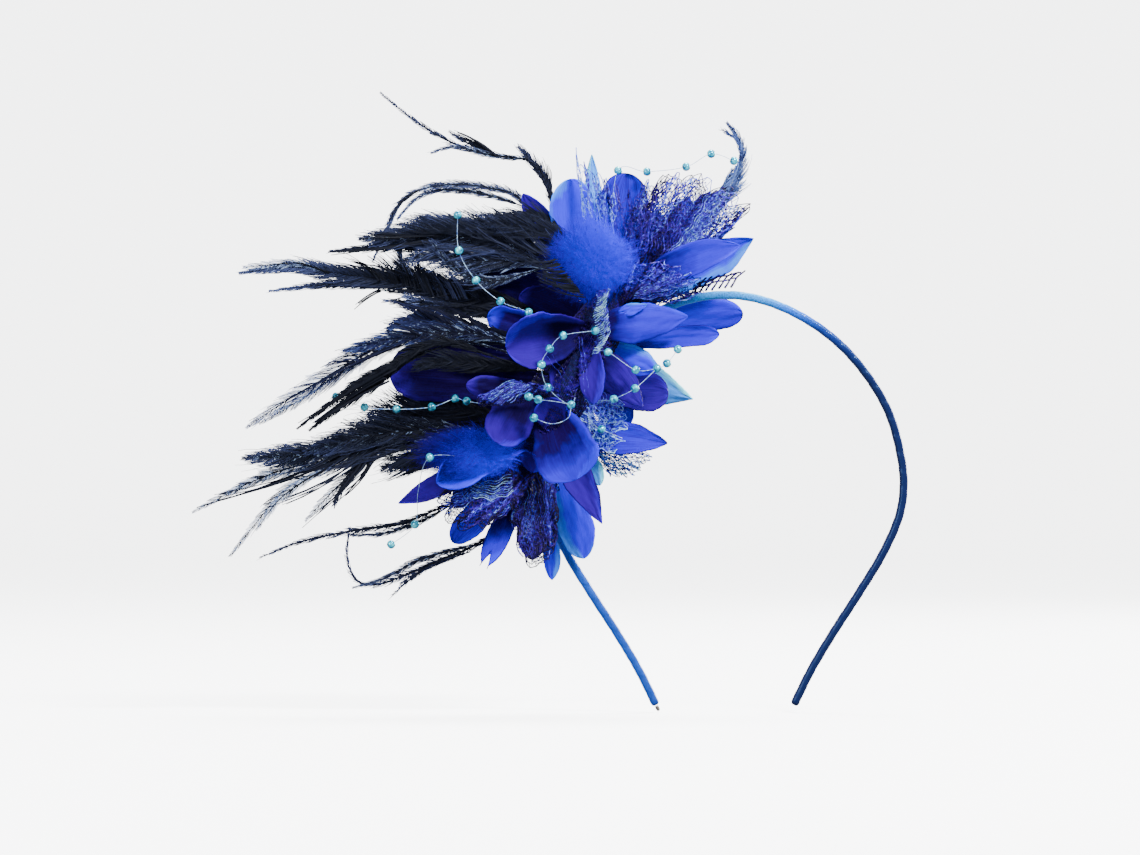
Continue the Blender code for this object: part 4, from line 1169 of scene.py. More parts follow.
net = hexagon_net("mesh_over_base_1", *BASE_NET_CELLS, base_net_surface, NET_THREADS["blue"],
                  BASE_NET_THREAD, base_net_tone)
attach(net, "root")
cloth = area_of(net)
side = math.sqrt(cloth * SQUARE_TO_PIECE)
print("net over the base, side in mm:", round(side * 1000))

# %% [markdown]
# ## Feathers
# A cock feather has a thin quill and hundreds of soft barbs that lie forward along it. The quill
# is a thin bar. The barbs are one grid cut to a comb: every second column of faces is deleted,
# so each column that stays is one barb, and one rule bends all of them from the quill outward.

# %% Feather finishes
def barb_finish(name, black, grey, soft, tip):
    """Barbs and films whose tone follows their dye, streaked along the barbs."""
    made, tree, shader = finish(name, grey, 0.7)
    shader.inputs["Specular IOR Level"].default_value = 0.08
    streaks = clouds(tree, own_map(tree, (2.1, 0.16)), 2.0)
    level = times_plus(tree, streaks.outputs["Fac"], 0.5, attribute(tree, "dye_and_painted_light"))
    run = ramp(tree, level, (0.22, black), (0.45, grey), (0.75, soft), (1.0, tip))
    tree.links.new(run, shader.inputs["Base Color"])
    bump(tree, shader, streaks.outputs["Color"], 0.5, 0.0003)
    return made


BARBS = {
    "feather_black": barb_finish("feather_black", (0.004, 0.005, 0.010), (0.011, 0.014, 0.030),
                                 (0.05, 0.065, 0.17), (0.28, 0.36, 0.66)),
    "feather_blue": barb_finish("feather_blue", (0.004, 0.005, 0.015), (0.015, 0.020, 0.08),
                                (0.09, 0.15, 0.42), (0.40, 0.66, 1.0)),
}
# The outer part of a vane is thin enough for light to pass.
thin_film, tree, shader = finish("feather_film", (0.42, 0.52, 0.80), 0.6)
shader.inputs["Alpha"].default_value = 0.60
shader.inputs["Specular IOR Level"].default_value = 0.1
veil = clouds(tree, own_map(tree, (2.6, 0.14)), 2.0)
veil_colour = ramp(tree, veil.outputs["Fac"], (0.36, (0.02, 0.03, 0.09)),
                   (0.50, (0.20, 0.28, 0.54)), (0.68, (0.62, 0.80, 1.0)))
tree.links.new(veil_colour, shader.inputs["Base Color"])
print("feather finishes:", ", ".join(BARBS))

# %% The feather table
# Name, slot, depth at root, depth at tip, blades of (half width, fullest at, quill share, way)
FEATHERS = [
    ("top_quill", "feather_black", 0.9, 1.0, [
        (1.3, 0.75, 0.3, [(-47.2, -11.0), (-54.0, 13.5), (-62.3, 34.0), (-64.8, 43.7),
                          (-70.2, 50.2), (-79.2, 51.7), (-95.4, 55.6), (-110.5, 63.9),
                          (-124.6, 75.1)]),
        (2.8, 0.35, 0.1, [(-61.9, 33.3), (-64.1, 42.3), (-69.1, 49.5), (-74.5, 55.6)])]),
    ("arch", "feather_black", 2.6, 2.6, [
        (1.8, 0.55, 0.25, [(-50.8, -18.2), (-60.8, 19.6), (-73.8, 36.5), (-84.6, 40.5),
                           (-97.2, 41.9), (-109.8, 40.1), (-117.0, 35.5), (-121.3, 26.8),
                           (-127.4, 13.9)])]),
    ("upper_plume", "feather_black", -10.0, -12.0, [
        (10.5, 0.25, 0.05, [(-47.9, -3.1), (-58.7, 10.6), (-73.8, 17.8), (-88.2, 21.4),
                            (-102.6, 22.9), (-117.0, 21.8), (-131.4, 21.4)]),
        (3.2, 0.3, 0.1, [(-81.0, 18.5), (-99.0, 19.3), (-117.0, 18.9), (-142.2, 16.7)])]),
    ("middle_plume", "feather_black", -8.2, -9.0, [
        (6.4, 0.3, 0.1, [(-55.1, -9.9), (-73.8, -3.1), (-88.2, 0.5), (-102.6, 4.1), (-117.0, 6.7),
                         (-135.0, 8.5), (-153.0, 11.3), (-174.6, 9.2)]),
        (2.2, 0.4, 0.1, [(-106.2, 4.1), (-127.8, 5.2), (-145.8, 4.9), (-163.8, 2.7)]),
        (2.6, 0.3, 0.1, [(-84.6, -0.9), (-99.0, -3.1), (-122.8, -0.5)])]),
    ("pale_blade", "feather_blue", -14.6, -15.0, [
        (4.4, 0.6, 0.3, [(-63.7, -23.9), (-88.2, -16.4), (-106.2, -13.9), (-117.0, -15.7),
                         (-127.8, -19.3), (-138.6, -25.7), (-149.4, -32.2), (-160.2, -38.7),
                         (-171.4, -46.3)])]),
    ("black_blade", "feather_black", -17.6, -18.0, [
        (2.6, 0.45, 0.25, [(-63.0, -27.5), (-84.6, -20.3), (-99.0, -15.7), (-109.8, -18.2),
                           (-120.6, -24.7), (-129.6, -29.0), (-136.8, -34.4), (-153.0, -46.6)])]),
    ("lower_plume", "feather_black", -8.6, -9.0, [
        (9.0, 0.45, 0.05, [(-66.6, -48.8), (-88.2, -51.3), (-106.2, -49.5), (-120.6, -50.9),
                           (-135.0, -54.2), (-153.0, -56.3), (-173.5, -57.1)]),
        (3.0, 0.35, 0.1, [(-117.0, -54.2), (-138.6, -57.1), (-156.6, -60.7), (-171.0, -66.1),
                          (-191.2, -76.5)]),
        (2.4, 0.3, 0.1, [(-127.8, -57.1), (-147.6, -62.5), (-158.4, -68.9), (-166.7, -78.3),
                         (-177.8, -92.3)]),
        (2.4, 0.3, 0.1, [(-124.2, -56.3), (-136.8, -65.0), (-150.8, -79.7)])]),
    ("thin_lower", "feather_black", -3.4, -3.4, [
        (1.6, 0.6, 0.25, [(-69.5, -56.3), (-86.4, -67.9), (-102.6, -75.1), (-117.0, -80.8),
                          (-127.8, -82.3), (-138.6, -84.1), (-153.0, -87.3), (-167.8, -93.1)])]),
    ("curl_lower", "feather_black", -1.9, -1.9, [
        (1.7, 0.5, 0.25, [(-67.7, -59.2), (-80.3, -80.8), (-90.0, -88.4), (-102.6, -93.8),
                          (-113.4, -98.5), (-124.2, -102.4), (-132.1, -101.7), (-136.1, -93.8),
                          (-135.4, -81.9)]),
        (1.3, 0.4, 0.1, [(-99.0, -92.3), (-109.8, -98.1), (-119.9, -106.4)])]),
    ("upper_right", "feather_blue", 1.2, 1.2, [
        (3.0, 0.62, 0.25, [(-42.8, -6.7), (-23.4, 10.6), (-10.8, 23.2), (-3.2, 33.3), (3.2, 40.1),
                           (6.1, 48.4), (5.8, 56.7), (0.7, 64.3)])]),
]


# %% A feather blade
def frames_along(line):
    """Run, side and up at each sample of a line that lies nearly in the face-on plane."""
    run = unit(np.gradient(line, axis=0))
    side = unit(np.stack([-run[:, 2], np.zeros(len(run)), run[:, 0]], -1))
    return run, side, unit(np.cross(run, side))


def spread_of(u, half, fullest, quill):
    """How far the barbs reach from the quill at u: bare at the root, then wide, then to a tip."""
    rise = np.clip((u - quill) / max(fullest - quill, 0.01), 0, 1)
    fall = np.clip((u - fullest) / (1 - fullest), 0, 1)
    full = 0.9 + (half - 0.9) * np.sin(0.5 * np.pi * rise)
    taper = 0.45 + (half - 0.45) * (1 - fall ** 1.4)
    return np.where(u < quill, 0.5, np.where(u < fullest, full, taper))


BARB_SAMPLES = 6
LONGEST_BARB = 24
LOCK_SPACING = 3.2
VANE_STEPS = 6
BAR_SIDES = 6


def barbs(name, line, half, fullest, quill, count, material, seed, tone, fade):
    """Barbs on both sides of a quill line. Each leaves it steeply and then lies forward, and
    neighbours cling together in locks that share a tip."""
    rng = np.random.default_rng(seed)
    at = np.sort(quill * 0.75 + (1 - quill * 0.75) * rng.random(count) ** 0.92)
    hand = rng.choice([-1.0, 1.0], count)
    run, side, up = frames_along(line)
    k = (at * (len(line) - 1)).astype(int)
    reach = spread_of(at, half, fullest, quill) * rng.uniform(0.4, 1.25, count)
    t = np.linspace(0, 1, BARB_SAMPLES)
    first = np.radians(rng.normal(32, 7, count))
    last = np.radians(rng.normal(10, 7, count))
    turn = first[:, None] + (last - first)[:, None] * t
    long = reach / np.maximum(np.mean(np.sin(turn), axis=1), 0.12)
    long = np.minimum(long, LONGEST_BARB)
    step = (long / (BARB_SAMPLES - 1))[:, None]
    ahead = np.cumsum(np.cos(turn) * step, axis=1) - np.cos(turn[:, :1]) * step
    out = (np.cumsum(np.sin(turn) * step, axis=1) - np.sin(turn[:, :1]) * step) * hand[:, None]
    rise = rng.normal(0, 0.28, count)[:, None] * np.abs(out) + 0.2 * np.sin(5 * t + at[:, None] * 90)
    lines = (line[k][:, None] + run[k][:, None] * ahead[..., None]
             + side[k][:, None] * out[..., None] + up[k][:, None] * rise[..., None])
    # locks: each barb's tip is drawn toward the mean tip of its neighbours on the same side
    length = way_length(line)
    lock = (at * length / LOCK_SPACING + rng.normal(0, 0.25, count)).astype(int) * 2 + (hand > 0)
    tips = lines[:, -1]
    sums = np.zeros((lock.max() + 1, 3))
    np.add.at(sums, lock, tips)
    shared = sums / np.maximum(np.bincount(lock, minlength=len(sums)), 1)[:, None]
    pull = (shared[lock] - tips) * rng.uniform(0.2, 0.8, count)[:, None]
    lines = lines + pull[:, None] * (t ** 2)[None, :, None]
    thin = rng.uniform(0.27, 0.42, count)[:, None] * (1 - 0.62 * t) * (1 - 0.25 * at[:, None])
    lean = side[k] * rng.normal(0, 0.5, count)[:, None]
    level = tone[0] + (tone[1] - tone[0]) * at ** 1.6 + 0.20 * rng.random(count) ** 6
    return strands(name, lines, thin, up[k] + lean, level, fade, material)


def vane(name, line, half, fullest, quill, material, seed, reach, tone, edge):
    """The closed part of a blade, whose edge ends in pointed locks that lie forward."""
    rng = np.random.default_rng(seed)
    samples = len(line) - 1
    run, side, up = frames_along(line)
    at = np.concatenate([[0], np.cumsum(np.linalg.norm(np.diff(line, axis=0), axis=1))])
    teeth = []
    for hand in (0, 1):
        ends = np.concatenate([[0], np.cumsum(rng.uniform(1.5, 4.6, int(at[-1] / 1.5) + 3))])
        lock = np.searchsorted(ends, at, side="right") - 1
        along = (at - ends[lock]) / (ends[lock + 1] - ends[lock])
        teeth.append(rng.uniform(0.66, 1.0, len(ends))[lock] * (0.60 + 0.40 * along))
    teeth = np.array(teeth)

    def surface(u, w):
        k = np.round(u * samples).astype(int)
        v = 2 * w - 1
        tooth = teeth[(v > 0).astype(int), k]
        width = np.abs(v) * spread_of(u, half, fullest, quill) * reach * tooth
        forward = 1.5 * width * (1 - 0.6 * u)
        p = line[k] + side[k] * (np.sign(v) * width)[:, None] + run[k] * forward[:, None]
        lift = 0.12 * np.sin(at[k] + 4 * v) * np.abs(v) - 0.10 * width
        return splayed(p + up[k] * lift[:, None])

    made = grid_piece(name, samples, VANE_STEPS, surface, material)
    u, w = grid_places(samples, VANE_STEPS)
    shade(made, "dye_and_painted_light", tone[0] + (tone[1] - tone[0]) * u ** 1.6 + edge * np.abs(2 * w - 1) ** 1.4)
    stretch_map(made, at[-1], 2 * half)
    return made


def brush(name, row, seed, material):
    """A row of single strands from one short line to another, bowed to one side."""
    depth, root_a, root_b, tip_a, tip_b, bow, count, tone = row
    rng = np.random.default_rng(seed)
    share = np.sort(rng.random(count))[:, None]
    roots = between(root_a, root_b, share, depth) + rng.normal(0, 0.25, (count, 3))
    tips = between(tip_a, tip_b, share, depth) + rng.normal(0, 0.7, (count, 3))
    t = np.linspace(0, 1, BARB_SAMPLES)[None, :, None]
    way = tips - roots
    across = unit(np.stack([-way[:, 2], np.zeros(count), way[:, 0]], -1)) * bow
    lines = roots[:, None] + way[:, None] * t * rng.uniform(0.75, 1.1, (count, 1, 1))
    lines = lines + across[:, None] * np.sin(np.pi * t * 0.9)
    # the few strands that stand alone are thicker
    thin = rng.uniform(0.30, 0.50, (count, 1)) * (1 - 0.55 * t[..., 0]) * (1.7 if count < 10 else 1)
    facing = TO_VIEWER + rng.normal(0, 0.35, (count, 3))
    return strands(name, lines, thin, facing, tone + rng.normal(0, 0.05, count), 0.12, material)


def quill_bar(name, line, thick, material):
    """A thin bar that tapers to the tip: a grid rolled round the line."""
    run, side, up = frames_along(line)
    samples = len(line) - 1

    def surface(u, w):
        k = np.round(u * samples).astype(int)
        turn = 2 * np.pi * w
        size = thick * (1 - 0.85 * u)
        ring = side[k] * np.cos(turn)[:, None] + up[k] * np.sin(turn)[:, None]
        return splayed(line[k]) + ring * size[:, None]

    return grid_piece(name, samples, BAR_SIDES, surface, material)


def merge(name, pieces):
    """Joins meshes of several objects into one, and drops the single ones."""
    shape = bmesh.new()
    for piece in pieces:
        shape.from_mesh(piece.data)
    material = pieces[0].data.materials[0]
    for piece in pieces:
        mesh = piece.data
        bpy.data.objects.remove(piece)
        bpy.data.meshes.remove(mesh)
    return finished(name, shape, material, smooth=False)


# %% Looser blades and finer strands
# Looser blades that the solids leave out: fluff at the roots of the plumes and split tips.
LOOSE_BLADES = {
    "top_quill": [
        (1.6, 0.4, 0.1, [(-70.9, 50.9), (-84.6, 52.4), (-97.2, 55.3), (-106.2, 53.1)]),
        (1.3, 0.5, 0.1, [(-81.0, 52.0), (-91.8, 56.3), (-99.7, 61.0)])],
    "arch": [
        (1.8, 0.4, 0.1, [(-70.2, 32.9), (-82.8, 37.3), (-99.0, 40.1), (-110.5, 37.3),
                         (-118.4, 29.3)]),
        (1.4, 0.5, 0.1, [(-109.8, 40.1), (-117.7, 34.7), (-122.8, 25.0)])],
    "upper_plume": [
        (6.0, 0.4, 0.1, [(-59.4, 13.5), (-73.8, 13.5), (-88.2, 13.5), (-102.6, 15.7),
                         (-115.2, 13.5)]),
        (4.5, 0.5, 0.1, [(-50.4, 13.5), (-64.8, 27.9), (-77.4, 27.9), (-91.8, 26.5), (-109.8, 29.3)]),
        (5.4, 0.5, 0.0, [(-45.0, 14.9), (-57.6, 21.4), (-72.0, 25.4), (-86.0, 27.2)]),
        (3.6, 0.5, 0.1, [(-81.0, 21.4), (-99.0, 25.7), (-113.4, 24.3), (-126.0, 18.5)]),
        (3.2, 0.5, 0.1, [(-66.6, 10.6), (-84.6, 6.3), (-97.2, 11.3), (-105.5, 20.7)])],
    "middle_plume": [
        (5.2, 0.5, 0.1, [(-59.4, -8.1), (-77.4, -6.7), (-91.8, -1.6), (-106.2, 2.7), (-118.8, 13.5)]),
        (4.0, 0.5, 0.1, [(-73.8, -4.5), (-91.8, -4.5), (-106.2, -2.3), (-115.6, 1.3)]),
        (3.4, 0.5, 0.1, [(-91.8, -0.2), (-108.0, 5.2), (-115.2, 11.3), (-117.7, 19.3)]),
        (1.8, 0.6, 0.1, [(-142.2, 9.2), (-153.0, 12.8), (-163.8, 12.1), (-172.8, 11.3)])],
    "pale_blade": [
        (5.8, 0.5, 0.1, [(-59.4, -18.9), (-81.0, -13.9), (-97.2, -10.3), (-111.6, -7.4),
                         (-121.3, -11.0)]),
        (4.6, 0.5, 0.1, [(-66.6, -18.2), (-88.2, -12.8), (-106.2, -12.4), (-122.4, -15.3),
                         (-136.8, -18.9)]),
        (2.2, 0.5, 0.1, [(-124.2, -18.9), (-138.6, -27.5), (-153.0, -36.9), (-166.7, -44.8)])],
    "black_blade": [
        (2.6, 0.5, 0.1, [(-99.0, -16.7), (-113.4, -21.8), (-126.0, -30.8), (-136.8, -38.0),
                         (-148.7, -47.3)]),
        (4.6, 0.5, 0.1, [(-64.8, -26.1), (-84.6, -23.9), (-99.0, -22.5), (-111.6, -24.7)])],
    "lower_plume": [
        (7.0, 0.5, 0.05, [(-73.8, -43.4), (-91.8, -40.5), (-103.3, -36.2), (-112.0, -31.1)]),
        (7.5, 0.5, 0.05, [(-75.6, -47.0), (-99.0, -43.4), (-115.2, -41.2), (-127.8, -42.7)]),
        (6.5, 0.5, 0.05, [(-79.2, -50.6), (-99.0, -47.7), (-117.0, -47.7), (-135.0, -50.6),
                          (-150.8, -54.9)]),
        (6.0, 0.5, 0.05, [(-79.2, -52.4), (-99.0, -54.9), (-113.4, -58.5), (-123.5, -60.7)]),
        (2.0, 0.5, 0.1, [(-126.0, -56.0), (-135.0, -63.5), (-140.4, -74.0)]),
        (2.0, 0.5, 0.1, [(-142.2, -58.5), (-153.0, -61.4), (-166.7, -64.3), (-180.0, -70.0)]),
        (1.8, 0.5, 0.1, [(-138.6, -58.5), (-149.4, -64.3), (-160.2, -72.2), (-168.1, -83.0)])],
    "thin_lower": [
        (1.4, 0.5, 0.1, [(-99.0, -74.3), (-109.8, -80.1), (-122.4, -84.1), (-135.0, -85.1)])],
    "curl_lower": [
        (1.6, 0.5, 0.1, [(-88.9, -88.0), (-100.8, -90.9), (-111.6, -94.5), (-122.4, -100.3),
                         (-134.3, -103.9)]),
        (1.3, 0.5, 0.1, [(-91.8, -90.9), (-106.2, -95.9), (-117.0, -102.4)])],
    "upper_right": [
        (2.2, 0.5, 0.1, [(-12.6, 22.9), (-6.8, 33.7), (-1.1, 39.4), (3.2, 47.3)]),
        (1.4, 0.5, 0.1, [(6.1, 50.2), (4.7, 57.4), (-1.1, 61.7)])],
}

# For each feather: its tone from root to tip, 0 for black and 1 for the light blue of thin tips
TONES = {
    "top_quill": (0.0, 0.35),
    "arch": (0.05, 0.4),
    "upper_plume": (0.03, 0.12),
    "middle_plume": (-0.14, 0.55),
    "pale_blade": (-0.22, 0.16),
    "black_blade": (-0.15, 0.0),
    "lower_plume": (-0.14, 0.2),
    "thin_lower": (0.0, 0.3),
    "curl_lower": (0.05, 0.4),
    "upper_right": (0.35, 0.15),
}
# How each blade is built, in order: k dense and black, s soft with light edges, p pale and thin
# beside a dark quill, t a slim thread.
BLADE_KINDS = {
    "top_quill": "tkst", "arch": "sst", "upper_plume": "skskkks", "middle_plume": "kkksksp",
    "pale_blade": "pksp", "black_blade": "kkk", "lower_plume": "spppkkskkpp", "thin_lower": "ts",
    "curl_lower": "ttst", "upper_right": "sst",
}
# for each kind: reach of the closed vane, lighter edge, reach of the thin film, share of barbs
KINDS = {"k": (0.85, 0.12, 0.0, 1.0), "s": (0.52, 0.32, 1.0, 0.9), "p": (0.14, 0.30, 1.35, 0.30),
         "t": (0.50, 0.20, 0.0, 0.8)}
# Single strands that stand out: depth, roots from and to, tips from and to, bow, count, tone
BRUSHES = {
    "upper_plume": [
        (-11.0, (-59.4, 18.5), (-54.0, 13.5), (-83.9, 32.9), (-86.0, 22.9), 1.0, 70, 0.05),
        (-12.5, (-106.2, 23.6), (-59.4, 21.4), (-117.7, 26.5), (-86.0, 33.7), 1.5, 60, 0.05),
        (-12.0, (-102.6, 19.3), (-81.0, 16.4), (-115.6, 12.8), (-102.6, 8.8), -1.5, 36, 0.35),
        (-12.5, (-108.0, 21.4), (-105.5, 20.3), (-142.9, 16.4), (-140.8, 17.5), 0.8, 6, -0.1),
        (-12.5, (-106.2, 22.9), (-102.6, 21.8), (-131.0, 22.1), (-126.4, 22.5), 0.5, 7, -0.1),
        (-12.5, (-88.2, 21.4), (-48.6, 11.3), (-99.0, 26.5), (-63.7, 24.3), 1.0, 50, 0.12),
        (-25.5, (-50.4, -0.2), (-60.8, 13.5), (-63.7, 4.9), (-70.2, 13.5), 1.0, 60, 0.0)],
    "middle_plume": [
        (-9.5, (-124.9, 6.7), (-112.7, 4.1), (-137.2, 13.5), (-119.9, 17.1), -1.6, 34, -0.05),
        (-9.5, (-112.7, 4.1), (-99.0, -0.2), (-118.4, 15.7), (-108.4, 13.5), -1.2, 20, 0.0),
        (-9.8, (-107.6, 2.7), (-104.0, 0.5), (-113.8, 21.4), (-109.8, 18.5), 1.0, 14, 0.05),
        (-9.5, (-100.8, -0.2), (-88.2, -0.2), (-107.6, 10.6), (-99.0, 12.8), -1.0, 18, 0.25),
        (-9.5, (-117.0, 0.9), (-91.8, -3.1), (-122.8, -0.5), (-115.6, -2.3), 0.6, 26, 0.0),
        (-9.5, (-124.2, 3.4), (-123.5, 2.7), (-133.6, -2.3), (-132.5, -3.1), -0.5, 4, -0.1)],
    "pale_blade": [
        (-15.2, (-106.2, -8.8), (-84.6, -11.7), (-117.0, -3.4), (-101.2, -2.0), -1.0, 34, -0.14),
        (-15.2, (-109.8, -13.9), (-97.2, -16.4), (-121.3, -8.1), (-123.5, -15.3), -1.0, 34, -0.12),
        (-15.4, (-117.0, -16.4), (-135.0, -23.9), (-132.1, -16.7), (-146.5, -26.1), -1.2, 26, 0.02),
        (-15.6, (-117.0, -15.7), (-115.6, -16.7), (-170.3, -45.2), (-166.7, -41.9), -1.2, 6, -0.05)],
    "black_blade": [
        (-18.2, (-118.8, -23.9), (-117.0, -26.1), (-152.3, -45.9), (-150.8, -44.8), -0.6, 6, -0.1),
        (-18.2, (-122.4, -27.5), (-119.9, -29.7), (-148.3, -46.3), (-145.8, -44.8), -0.8, 6, -0.1)],
    "lower_plume": [
        (-9.6, (-106.2, -34.7), (-125.6, -47.7), (-115.6, -28.3), (-137.2, -44.8), 0.6, 80, 0.22),
        (-9.6, (-104.0, -36.9), (-118.4, -44.8), (-112.0, -30.4), (-129.2, -39.1), 0.6, 60, 0.02),
        (-9.6, (-106.2, -56.0), (-127.1, -56.0), (-118.4, -61.7), (-132.8, -58.9), -0.6, 36, 0.08),
        (-9.8, (-136.8, -54.9), (-134.3, -56.3), (-189.7, -75.1), (-184.7, -71.5), 1.6, 5, 0.0),
        (-9.8, (-131.4, -56.3), (-129.2, -57.1), (-166.7, -77.2), (-161.6, -71.5), 2.2, 6, 0.1),
        (-9.8, (-129.2, -57.1), (-127.8, -57.8), (-150.1, -78.7), (-145.1, -73.6), 1.4, 6, 0.05),
        (-9.8, (-127.1, -57.1), (-125.6, -57.8), (-139.3, -71.8), (-136.4, -68.6), 1.2, 6, -0.05)],
    "upper_right": [
        (0.6, (6.8, 53.8), (1.1, 40.9), (2.5, 45.9), (-6.8, 31.5), 1.4, 30, 0.45),
        (0.6, (1.8, 40.9), (-4.7, 31.5), (-8.3, 30.8), (-12.6, 24.3), 1.2, 30, 0.5)],
    "top_quill": [
        (0.6, (-81.0, 52.0), (-88.9, 53.8), (-96.1, 60.3), (-100.4, 60.7), -1.0, 9, 0.0)],
}

# %% Feathers
BLADE_SAMPLES = 121
THICK_QUILL = 0.42
THIN_QUILL = 0.27

for number, (name, slot, y0, y1, blades) in enumerate(FEATHERS):
    material, tone = BARBS[slot], TONES[name]
    parts, films = [], []
    for k, (half, fullest, quill, way) in enumerate(blades + LOOSE_BLADES[name]):
        kind = BLADE_KINDS[name][k]
        if k < len(blades):
            shift = 0.12 * k
        else:
            # looser blades lie in front and behind by turns
            shift = (0.5 if k % 2 else -0.4) * (1 + 0.3 * (k - len(blades)))
        points = [place(p, y0 + (y1 - y0) * i / (len(way) - 1) + shift) for i, p in enumerate(way)]
        line = along_way(smooth_way(points), np.linspace(0, 1, BLADE_SAMPLES))
        reach, edge, film_reach, share = KINDS[kind]
        thick = THICK_QUILL if k == 0 or kind == "p" else THIN_QUILL
        bar = quill_bar("quill", line[::3], thick, material)
        shade(bar, "dye_and_painted_light", np.full(len(bar.data.vertices), tone[0] - 0.1))
        parts.append(bar)
        seed = 100 * number + k
        blade = (line, half, fullest, quill)
        parts.append(vane("vane", *blade, material, seed + 50, reach, tone, edge))
        if film_reach:
            films.append(vane("film", *blade, thin_film, seed + 70, film_reach, (0, 0), 0))
        count = int(way_length(line) * (2.6 + 1.3 * half) * share)
        parts.append(barbs("barbs", *blade, count, material, seed, tone, edge))
    for k, row in enumerate(BRUSHES.get(name, [])):
        parts.append(brush("brush", row, 1000 + 100 * number + k, material))
    feather = merge("barbs_" + name, parts)
    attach(feather, "root")
    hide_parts("feather_" + name)
    if films:
        film = merge("film_" + name, films)
        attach(film, "root")
    print(name, "faces:", len(feather.data.polygons), "films:", len(films))

# %% [markdown]
# ## Down
# Marabou is loose down: thousands of fine curled hairs from a few short stems. Each tuft is a
# comb as well. Its hairs start all over the inside of an oval and stream out one way, in locks,
# with a few strays that stand off it.

# %% Down finishes
def down_finish(name, deep, body, tip):
    """Dull down, darkened with painted shade deep inside the tuft and on its shaded side."""
    made, tree, shader = finish(name, body, 0.8)
    shader.inputs["Specular IOR Level"].default_value = 0.02
    run = ramp(tree, attribute(tree, "dye_and_painted_light"), (0.0, deep), (0.5, body), (1.0, tip))
    tree.links.new(run, shader.inputs["Base Color"])
    return made


DOWN_FINISHES = {
    "down_royal": down_finish("down_royal", (0.014, 0.001, 0.16), (0.026, 0.0, 0.92),
                              (0.032, 0.001, 1.0)),
    "down_black": down_finish("down_black", (0.003, 0.003, 0.010), (0.005, 0.006, 0.035),
                              (0.02, 0.03, 0.20)),
}

# Name, slot, centre, depth, half sizes, lean, seed
DOWN = [
    ("upper", "down_royal", (-47.9, 13.5), -17.5, (17.0, 7.6, 17.0), 0, 5),
    ("lower", "down_royal", (-88.9, -53.8), -17.5, (21.0, 6.6, 12.4), 0, 8),
    ("dark", "down_black", (-74.9, -72.2), -4.0, (5.0, 2.2, 15.5), 20, 3),
]

# %% A tuft
HAIR_SAMPLES = 5
LOCKS = 44
STRAY_SHARE = 0.22


def down_tuft(name, middle, semi, lean, count, material, seed, flow, shade_way, pinch, light):
    """Curled hairs that start all over the inside of an oval and stream out along flow."""
    rng = np.random.default_rng(seed)
    start = unit(rng.normal(0, 1, (count, 3))) * rng.uniform(0, 0.58, (count, 1)) ** 0.5
    locks = unit(rng.normal(0, 1, (LOCKS, 3)))
    lock_size = rng.uniform(0.70, 1.22, LOCKS)
    near = np.argmax((start + rng.normal(0, 0.12, (count, 3))) @ locks.T, axis=1)
    aim = unit(start) * 0.8 + locks[near] * 0.55 + np.array(flow)
    aim = unit(aim + rng.normal(0, 0.3, (count, 3)))
    end = start + aim * rng.uniform(0.3, 0.65, (count, 1))
    stray = rng.random(count) < STRAY_SHARE
    far = 0.82 + 0.62 * rng.random(count) ** 1.6
    close = 0.66 + 0.30 * rng.random(count)
    limit = np.where(stray, far, close) * lock_size[near]
    over = np.maximum(np.linalg.norm(end, axis=1) / limit, 1)[:, None]
    end = end / over
    bend = unit(rng.normal(0, 1, (count, 3))) * rng.uniform(0.02, 0.12, (count, 1))
    t = np.linspace(0, 1, HAIR_SAMPLES)[None, :, None]
    p = start[:, None] * (1 - t) + end[:, None] * t + bend[:, None] * np.sin(np.pi * t)
    q = p * np.array(semi)
    # a tuft is gathered at its foot and thins out above
    q[..., 0] *= 1 - pinch * smooth_step((np.abs(p[..., 2] + 0.1) - 0.25) / 0.8)
    way = unit(np.gradient(q, axis=1))
    thin = np.where(stray, 0.055, rng.uniform(0.09, 0.17, count))[:, None, None] * (1 - 0.7 * t)
    flat = unit(np.cross(way, rng.normal(0, 1, (count, 1, 3)))) * thin
    c, s = math.cos(math.radians(lean)), math.sin(math.radians(lean))
    swing = np.array([[c, 0, -s], [0, 1, 0], [s, 0, c]])
    made = comb(name, middle + q @ swing, flat @ swing, material)
    u, w = grid_places(HAIR_SAMPLES - 1, 2 * count - 1)
    strip = strip_of(w, count)
    out = np.linalg.norm(start[strip] * (1 - u[:, None]) + end[strip] * u[:, None], axis=1)
    # painted shade and light: hairs are lighter in the middle and darker on one side and further out;
    # each also varies a little at random and lightens toward its tip
    depth = light + 0.8 * (start[strip] @ -np.array(shade_way))
    depth = depth - 0.6 * smooth_step((out - 0.3) / 0.7)
    depth = depth + rng.normal(0, 0.10, count)[strip]
    shade(made, "dye_and_painted_light", np.clip(depth + 0.25 * (u - 0.4), 0, 1))
    return made


# %% Tufts
# For each tuft: hairs, the way they stream, the way in which painted shade darkens it, how far it
# is gathered at its ends, and how light its middle is painted.
TUFTS = {
    "upper": (9000, (-0.30, -0.1, 0.30), (-0.75, 0.0, -0.55), 0.38, 0.82),
    "lower": (8000, (-0.45, -0.1, -0.1), (-0.80, 0.0, 0.3), 0.1, 0.58),
    "dark": (1800, (0.0, 0.0, -0.2), (0, 0, 0.3), 0.0, 0.82),
}
